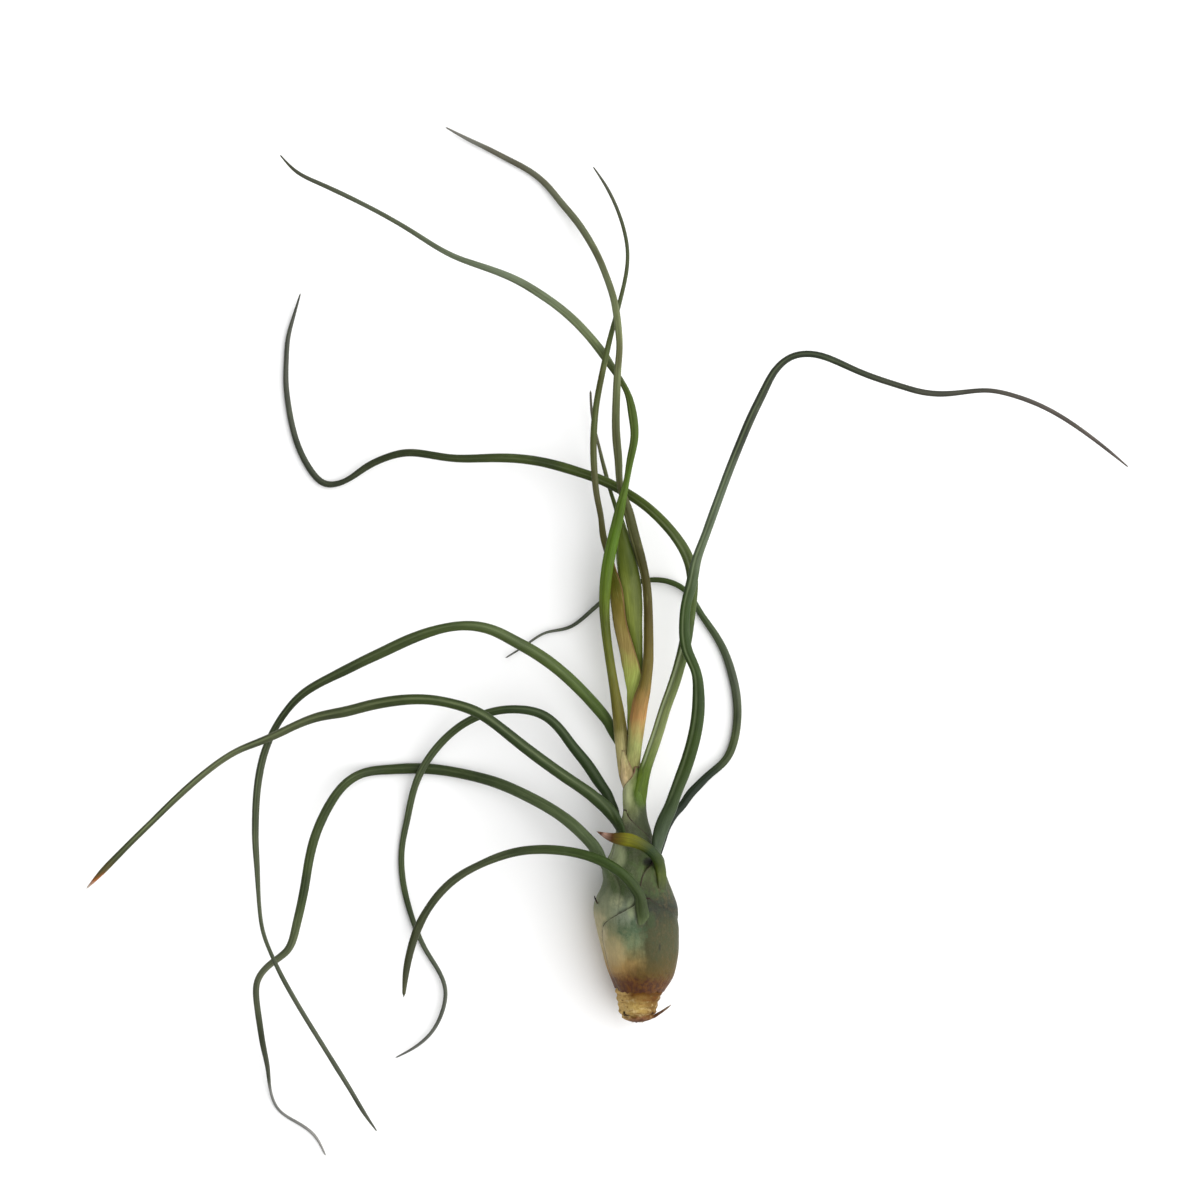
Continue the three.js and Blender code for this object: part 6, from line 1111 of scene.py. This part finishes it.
def woody_base():
    """The old stem at the bulb's foot: ring scars, pits and a torn end, and the hidden stem."""
    shape = Shape()
    cols = 104
    th = np.linspace(0, TAU, cols, endpoint=False)
    ys = np.r_[np.linspace(FOOT[0][0], FOOT[-1][0], 74)]
    foot = np.array(FOOT)
    cx, cz, rx = [spline(foot[:, 0], foot[:, k], ys) for k in (1, 2, 3)]
    T, Y = np.meshgrid(th, ys)
    pts = np.stack([np.cos(T) * 4, Y, np.sin(T) * 4], -1).reshape(-1, 3)
    lump = wobble(pts, (2.6, 1.8, 2.6), 4.0).reshape(T.shape)
    fine = wobble(pts, (0.6, 0.8, 0.6), 6.0).reshape(T.shape)
    ring = np.sin((Y + 0.5 * lump) * TAU / 1.9)
    depth = np.clip((Y - ys[0]) / (ys[-1] - ys[0]), 0, 1)
    r = rx[:, None] * np.ones_like(T)
    r = r + 0.26 * lump + 0.07 * fine + 0.16 * np.sign(ring) * np.abs(ring) ** 0.6 * smooth(depth, 0.06, 0.2)
    # dark marks the pits and the groove under the rim, for painted shade in these hollows
    dark = np.zeros_like(T)
    for (a, y, size, deep) in PITS:
        d = np.hypot(wrap(np.degrees(T) - a) * np.pi / 180 * rx[:, None], Y - y)
        g = np.exp(-((d / size) ** 2))
        r = r - deep * g
        dark = np.maximum(dark, g)
    rim = np.exp(-(((Y - (ys[0] + 0.9 + 0.4 * fine)) / 0.4) ** 2))
    r = r + 0.34 * rim * (0.5 + fine)
    groove = np.exp(-(((Y - (ys[0] + 1.9 + 0.5 * fine)) / 0.32) ** 2)) * np.clip(0.4 + lump, 0, 1)
    r = r - 0.45 * groove
    dark = np.maximum(dark, 0.8 * groove)
    v = np.stack([cx[:, None] + r * np.sin(T), Y, np.maximum(cz[:, None] + r * np.cos(T), 0.02)], -1).reshape(-1, 3)
    share = depth.ravel()
    lc = np.stack([v[:, 0], v[:, 2], v[:, 1]], 1)
    lf = np.stack([share, dark.ravel(), np.full(len(v), 9.0)], 1)
    lg = np.stack([np.sin(T).ravel(), np.cos(T).ravel(), np.zeros(len(v))], 1)
    faces = [tuple(reversed(f)) for f in ring_faces(len(ys), cols)]
    # the torn end: rings that run in to the middle
    k0 = 0
    centre = np.array([cx[0], ys[0] - 0.15, cz[0]])
    base = v[:cols]
    start = len(v)
    prev = 0
    vs, lcs, lfs, lgs = [v], [lc], [lf], [lg]
    for i, f in enumerate(np.linspace(0.86, 0.12, 9)):
        ringp = centre + (base - centre) * f
        w = wobble(ringp * np.array([1, 0, 1]), (0.7, 1, 0.7), 8.0)
        ringp[:, 1] = ys[0] - 0.30 * np.sin(np.pi * min(1, i / 4)) + 0.22 * w + 0.5 * (1 - f) * 0.3
        cur = start + i * cols
        for j in range(cols):
            faces.append((prev + j, prev + (j + 1) % cols, cur + (j + 1) % cols, cur + j))
        prev = cur
        vs.append(ringp)
        lcs.append(np.stack([ringp[:, 0], ringp[:, 2], ringp[:, 1]], 1))
        lfs.append(np.stack([np.full(cols, 0.02 + 0.1 * (1 - f)), np.clip(0.35 - 0.6 * w, 0, 1), np.full(cols, 9.0)], 1))
        lgs.append(np.zeros((cols, 3)))
    tip_i = start + 9 * cols
    vs.append(centre[None] + [[0, 0.1, 0]])
    for arr in (lcs, lgs):
        arr.append(np.zeros((1, 3)))
    lfs.append(np.array([[0.05, 0.3, 9.0]]))
    for j in range(cols):
        faces.append((prev + j, prev + (j + 1) % cols, tip_i))
    # where it goes on up inside the bulb
    top = (len(ys) - 1) * cols
    s = np.array(STEM)
    inner = s[s[:, 1] > ys[-1] + 0.4]
    last, count = top, tip_i + 1
    for x, y, z, w, d in inner:
        ringp = np.stack([x + w / 2 * 0.96 * np.sin(th), np.full(cols, y), z + d / 2 * 0.96 * np.cos(th)], 1)
        ringp[:, [0, 2]] += 0.06 * wobble(ringp, (1.2, 1.2, 1.2), 2.0, 2)[:, None]
        vs.append(ringp)
        lcs.append(np.stack([ringp[:, 0], ringp[:, 2], ringp[:, 1]], 1))
        lfs.append(np.stack([np.full(cols, 0.5), np.zeros(cols), np.full(cols, 9.0)], 1))
        lgs.append(np.zeros((cols, 3)))
        for j in range(cols):
            faces.append((last + (j + 1) % cols, last + j, count + j, count + (j + 1) % cols))
        last, count = count, count + cols
    vs.append(np.array([[inner[-1][0], inner[-1][1] + 0.3, inner[-1][2]]]))
    for arr in (lcs, lgs):
        arr.append(np.zeros((1, 3)))
    lfs.append(np.array([[0.5, 0.0, 9.0]]))
    for j in range(cols):
        faces.append((last + (j + 1) % cols, last + j, count))
    shape.add(np.vstack(vs), np.vstack(lcs), np.vstack(lfs), np.vstack(lgs), faces, 0)
    return shape.make("stem", [stem_material()], "stem")


# the old stem's outline: [y, x, z, radius], and its pits: [angle, y, size, depth]
FOOT = [
    [-102.72, 8.91, 9.18, 2.22], [-102.31, 9.02, 9.18, 3.38], [-101.63, 9.13, 9.23, 4.11],
    [-100.27, 9.02, 9.32, 4.93], [-98.9, 9.02, 9.45, 5.14], [-97.53, 9.15, 9.61, 5.47],
    [-96.16, 9.31, 9.77, 5.79], [-94.53, 9.5, 9.94, 6.36], [-93.16, 9.71, 10.1, 6.44],
    [-92.06, 9.93, 10.26, 5.95],
]
PITS = [(-48, -100.12, 0.5, 0.55), (58, -100.39, 0.5, 0.6), (140, -98.50, 0.6, 0.4), (220, -99.31, 0.5, 0.4)]
woody_base()


def root_piece():
    shape = Shape()
    t = np.array(ROOT)
    u = np.r_[0, np.cumsum(np.linalg.norm(np.diff(t[:, :3], axis=0), axis=1))]
    q = np.linspace(0, u[-1], 40)
    c = spline(u, t[:, :3], q)
    w = np.interp(q, u, t[:, 3])
    w = w * (1 + 0.15 * wobble(np.stack([q, 0 * q, 0 * q], 1), (0.9, 1, 1), 3.0))
    tan = unit(np.gradient(c, axis=0))
    side = unit(np.cross(tan, np.array([0, 0, 1.0])))
    out = np.cross(side, tan)
    a = np.linspace(0, TAU, 16, endpoint=False)
    v, lc = [], []
    for i in range(len(q)):
        tw = a + q[i] * 0.55
        r = w[i] / 2 * (1 + 0.13 * np.cos(3 * a))
        v.append(c[i] + side[i] * (r * np.cos(tw))[:, None] + out[i] * (r * np.sin(tw))[:, None])
        lc.append(np.stack([r * np.cos(tw), r * np.sin(tw), np.full(16, q[i])], 1))
    v, lc = np.vstack(v), np.vstack(lc)
    k = len(v)
    v = np.vstack([v, c[0] - tan[0] * 0.1, c[-1] + tan[-1] * 0.5])
    lc = np.vstack([lc, [0, 0, 0], [0, 0, q[-1]]])
    lf = np.stack([lc[:, 2] / q[-1], 0 * lc[:, 2], 9 + 0 * lc[:, 2]], 1)
    faces = ring_faces(len(q), 16)
    last = (len(q) - 1) * 16
    for j in range(16):
        faces += [(k, (j + 1) % 16, j), (k + 1, last + j, last + (j + 1) % 16)]
    shape.add(v, lc, lf, 0 * lc, faces, 0)
    shape.make("root", [root_material()], "root")


root_piece()


def spike_at(y):
    return [np.interp(y, SPIKE[:, 0], SPIKE[:, k]) for k in (1, 2, 3, 4)]


def bract(name, f0, f1, a0, a1, end, inset, stops, pale, edge_col, point=0.5, belly=0.0, thick=0.28, shade=None):
    """A scale of the spike: it wraps part of the section and comes to a soft point."""
    y0 = SPIKE[0, 0] + f0 * (SPIKE[-1, 0] - SPIKE[0, 0])
    y1 = SPIKE[0, 0] + f1 * (SPIKE[-1, 0] - SPIKE[0, 0])
    n, cols = 70, 30
    f = np.linspace(0, 1, n + 1)
    ys = y0 + f * (y1 - y0)
    mid, half = (a0 + a1) / 2, (a1 - a0) / 2
    k = np.sqrt(np.maximum(0, 1 - np.maximum(0, (f - point) / (1 - point)) ** 2.2)) * (0.55 + 0.45 * smooth(f, 0, 0.25))
    lo = mid + (end - mid) * f**2 - half * np.maximum(k, 0.03)
    hi = mid + (end - mid) * f**2 + half * np.maximum(k, 0.03)
    s = np.linspace(0, 1, cols + 1)
    th = lo[:, None] + (hi - lo)[:, None] * s[None]
    yy = np.repeat(ys[:, None], cols + 1, 1)
    x, z, w, d = spike_at(yy)
    w, d = np.maximum(w - inset, 0.25), np.maximum(d - inset, 0.25)
    t = np.radians(th)
    arc = np.minimum(s[None], 1 - s[None]) * (hi - lo)[:, None] * np.pi / 180 * (w + d) / 2
    arc = np.minimum(arc, (y1 - yy) * 0.5)
    m = smooth(arc, 1.0, 0.0)
    lift = 0.07 * wobble(np.stack([th.ravel() * 0.05, yy.ravel(), 0 * th.ravel()], 1), (0.8, 2.4, 1), inset * 9 + f0).reshape(th.shape)
    keel = belly * np.exp(-(((s[None] - 0.5) / 0.10) ** 2)) * smooth(f, 0.3, 0.8)[:, None]
    g = lift * (1 - m) + keel - 0.05 * m
    o = np.stack([x + (w + g) * np.sin(t), yy, z + (d + g) * np.cos(t)], -1)
    th_k = (thick * (1 - m) + 0.07 * m)
    i = np.stack([x + (w + g - th_k) * np.sin(t), yy, z + (d + g - th_k) * np.cos(t)], -1)
    v = np.concatenate([o, i[:, ::-1]], 1).reshape(-1, 3)
    lc = np.stack([(th - mid) * np.pi / 180 * (w + d) / 2, 0 * yy, yy], -1)
    lf = np.stack([np.repeat(f[:, None], cols + 1, 1), 0 * yy, arc], -1)
    cat = lambda q: np.concatenate([q, q[:, ::-1]], 1).reshape(-1, 3)
    width = 2 * (cols + 1)
    faces = ring_faces(n + 1, width)
    last = n * width
    for j in range(cols):
        faces.append((j + 1, j, width - 1 - j, width - 2 - j))
        faces.append((last + j, last + j + 1, last + width - 2 - j, last + width - 1 - j))
    shape = Shape()
    shape.add(v, cat(lc), cat(lf), cat(0 * lc), faces, 0)
    return shape.make(name, [bract_material(name, stops, pale, edge_col, dark="263404", shade=shade, veined=0.35)], name)


# the lower bract's right flank gets painted shade, its left painted light
bract("floral_bract_lower", 0.02, 0.93, -78, 112, 14, 0.0,
      [(0.0, "6a7c21"), (0.35, "7e893c"), (0.58, "636c31"), (0.66, "434f09"), (0.76, "364304"), (1.0, "2b3a04")], "8f9a41", "879259", point=0.42, belly=0.10,
      shade=(6.8, 9.6, 0.7, "343c04"))
bract("floral_bract_side", 0.10, 0.80, 107, 262, 250, 0.0,
      [(0.0, "6c8334"), (0.5, "5d7c28"), (1.0, "3a5d15")], "96a55d", "b0b88b", point=0.5)


def bud_tip():
    """Rolled dark-green tip of the spike, with a seam that runs round it."""
    y0 = SPIKE[0, 0] + 0.22 * (SPIKE[-1, 0] - SPIKE[0, 0])
    y1 = SPIKE[0, 0] + 0.99 * (SPIKE[-1, 0] - SPIKE[0, 0])
    n, cols = 80, 40
    f = np.linspace(0, 1, n + 1)
    ys = y0 + f * (y1 - y0)
    x, z, w, d = spike_at(ys)
    e = np.minimum(1, 0.25 + 2.2 * f)
    w, d = np.maximum(0.3, (w - 0.34) * e), np.maximum(0.3, (d - 0.34) * e)
    a = np.linspace(0, TAU, cols, endpoint=False)
    v, lc, lf = [], [], []
    for i in range(n + 1):
        seam = np.radians(-40 + 150 * f[i])
        u = (a - seam) % TAU
        step = 0.16 * (u / TAU) - 0.08
        g = step * smooth(f[i], 0.1, 0.3)
        v.append(np.stack([x[i] + (w[i] + g) * np.sin(a), np.full(cols, ys[i]), z[i] + (d[i] + g) * np.cos(a)], 1))
        lc.append(np.stack([a * (w[i] + d[i]) / 2, 0 * a, np.full(cols, ys[i])], 1))
        lf.append(np.stack([np.full(cols, f[i]), 0 * a, np.minimum(u, TAU - u) * (w[i] + d[i]) / 2 + 0.08], 1))
    v, lc, lf = np.vstack(v), np.vstack(lc), np.vstack(lf)
    k = len(v)
    v = np.vstack([v, [x[0], y0 - 0.3, z[0]], [x[-1], y1 + 0.5, z[-1]]])
    lc = np.vstack([lc, [0, 0, y0], [0, 0, y1]])
    lf = np.vstack([lf, [0, 0, 9], [1, 0, 9]])
    faces = [tuple(reversed(q)) for q in ring_faces(n + 1, cols)]
    last = n * cols
    for j in range(cols):
        faces += [(k, j, (j + 1) % cols), (k + 1, last + (j + 1) % cols, last + j)]
    shape = Shape()
    shape.add(v, lc, lf, 0 * lc, faces, 0)
    shape.make("floral_bract_tip", [bract_material("floral_bract_tip", [(0.0, "5d7c28"), (0.35, "3c6104"), (0.55, "214704"), (0.85, "284d04"), (1.0, "3c6104")], "5d7c2b", "6c8341")],
               "floral_bract_tip")


bud_tip()


# ---------------------------------------------------------------- floor, light, camera
def floor():
    me = bpy.data.meshes.new("floor")
    k = 40.0
    me.from_pydata([(-k, -k, -0.00005), (k, -k, -0.00005), (k, k, -0.00005), (-k, k, -0.00005)], [], [(0, 1, 2, 3)])
    me.materials.append(floor_material())
    ob = bpy.data.objects.new("floor", me)
    bpy.context.scene.collection.objects.link(ob)


floor()
sun = bpy.data.lights.new("key", "SUN")
sun.energy, sun.angle = 4.6, 1.8
lamp = bpy.data.objects.new("key", sun)
lamp.location = (0.75, 0.08, 0.62)
lamp.rotation_euler = Vector((-0.75, -0.08, -0.62)).to_track_quat("-Z", "Y").to_euler()
bpy.context.scene.collection.objects.link(lamp)

world = bpy.data.worlds.new("studio")
world.use_nodes = True
bg = world.node_tree.nodes["Background"]
bg.inputs[0].default_value = (1.0, 1.0, 1.0, 1.0)
bg.inputs[1].default_value = 0.42
bpy.context.scene.world = world

# straight down, as the photograph is taken
cam = bpy.data.cameras.new("camera")
cam.sensor_width = 36.0
cam.lens = 120.89
cam.clip_start, cam.clip_end = 0.05, 20.0
eye = bpy.data.objects.new("camera", cam)
eye.location = (-0.00110449, 0.01124438, 1.1)
eye.rotation_euler = (0, 0, 0)
bpy.context.scene.collection.objects.link(eye)
bpy.context.scene.camera = eye
bpy.context.scene.view_settings.view_transform = "Standard"

bpy.context.view_layer.update()
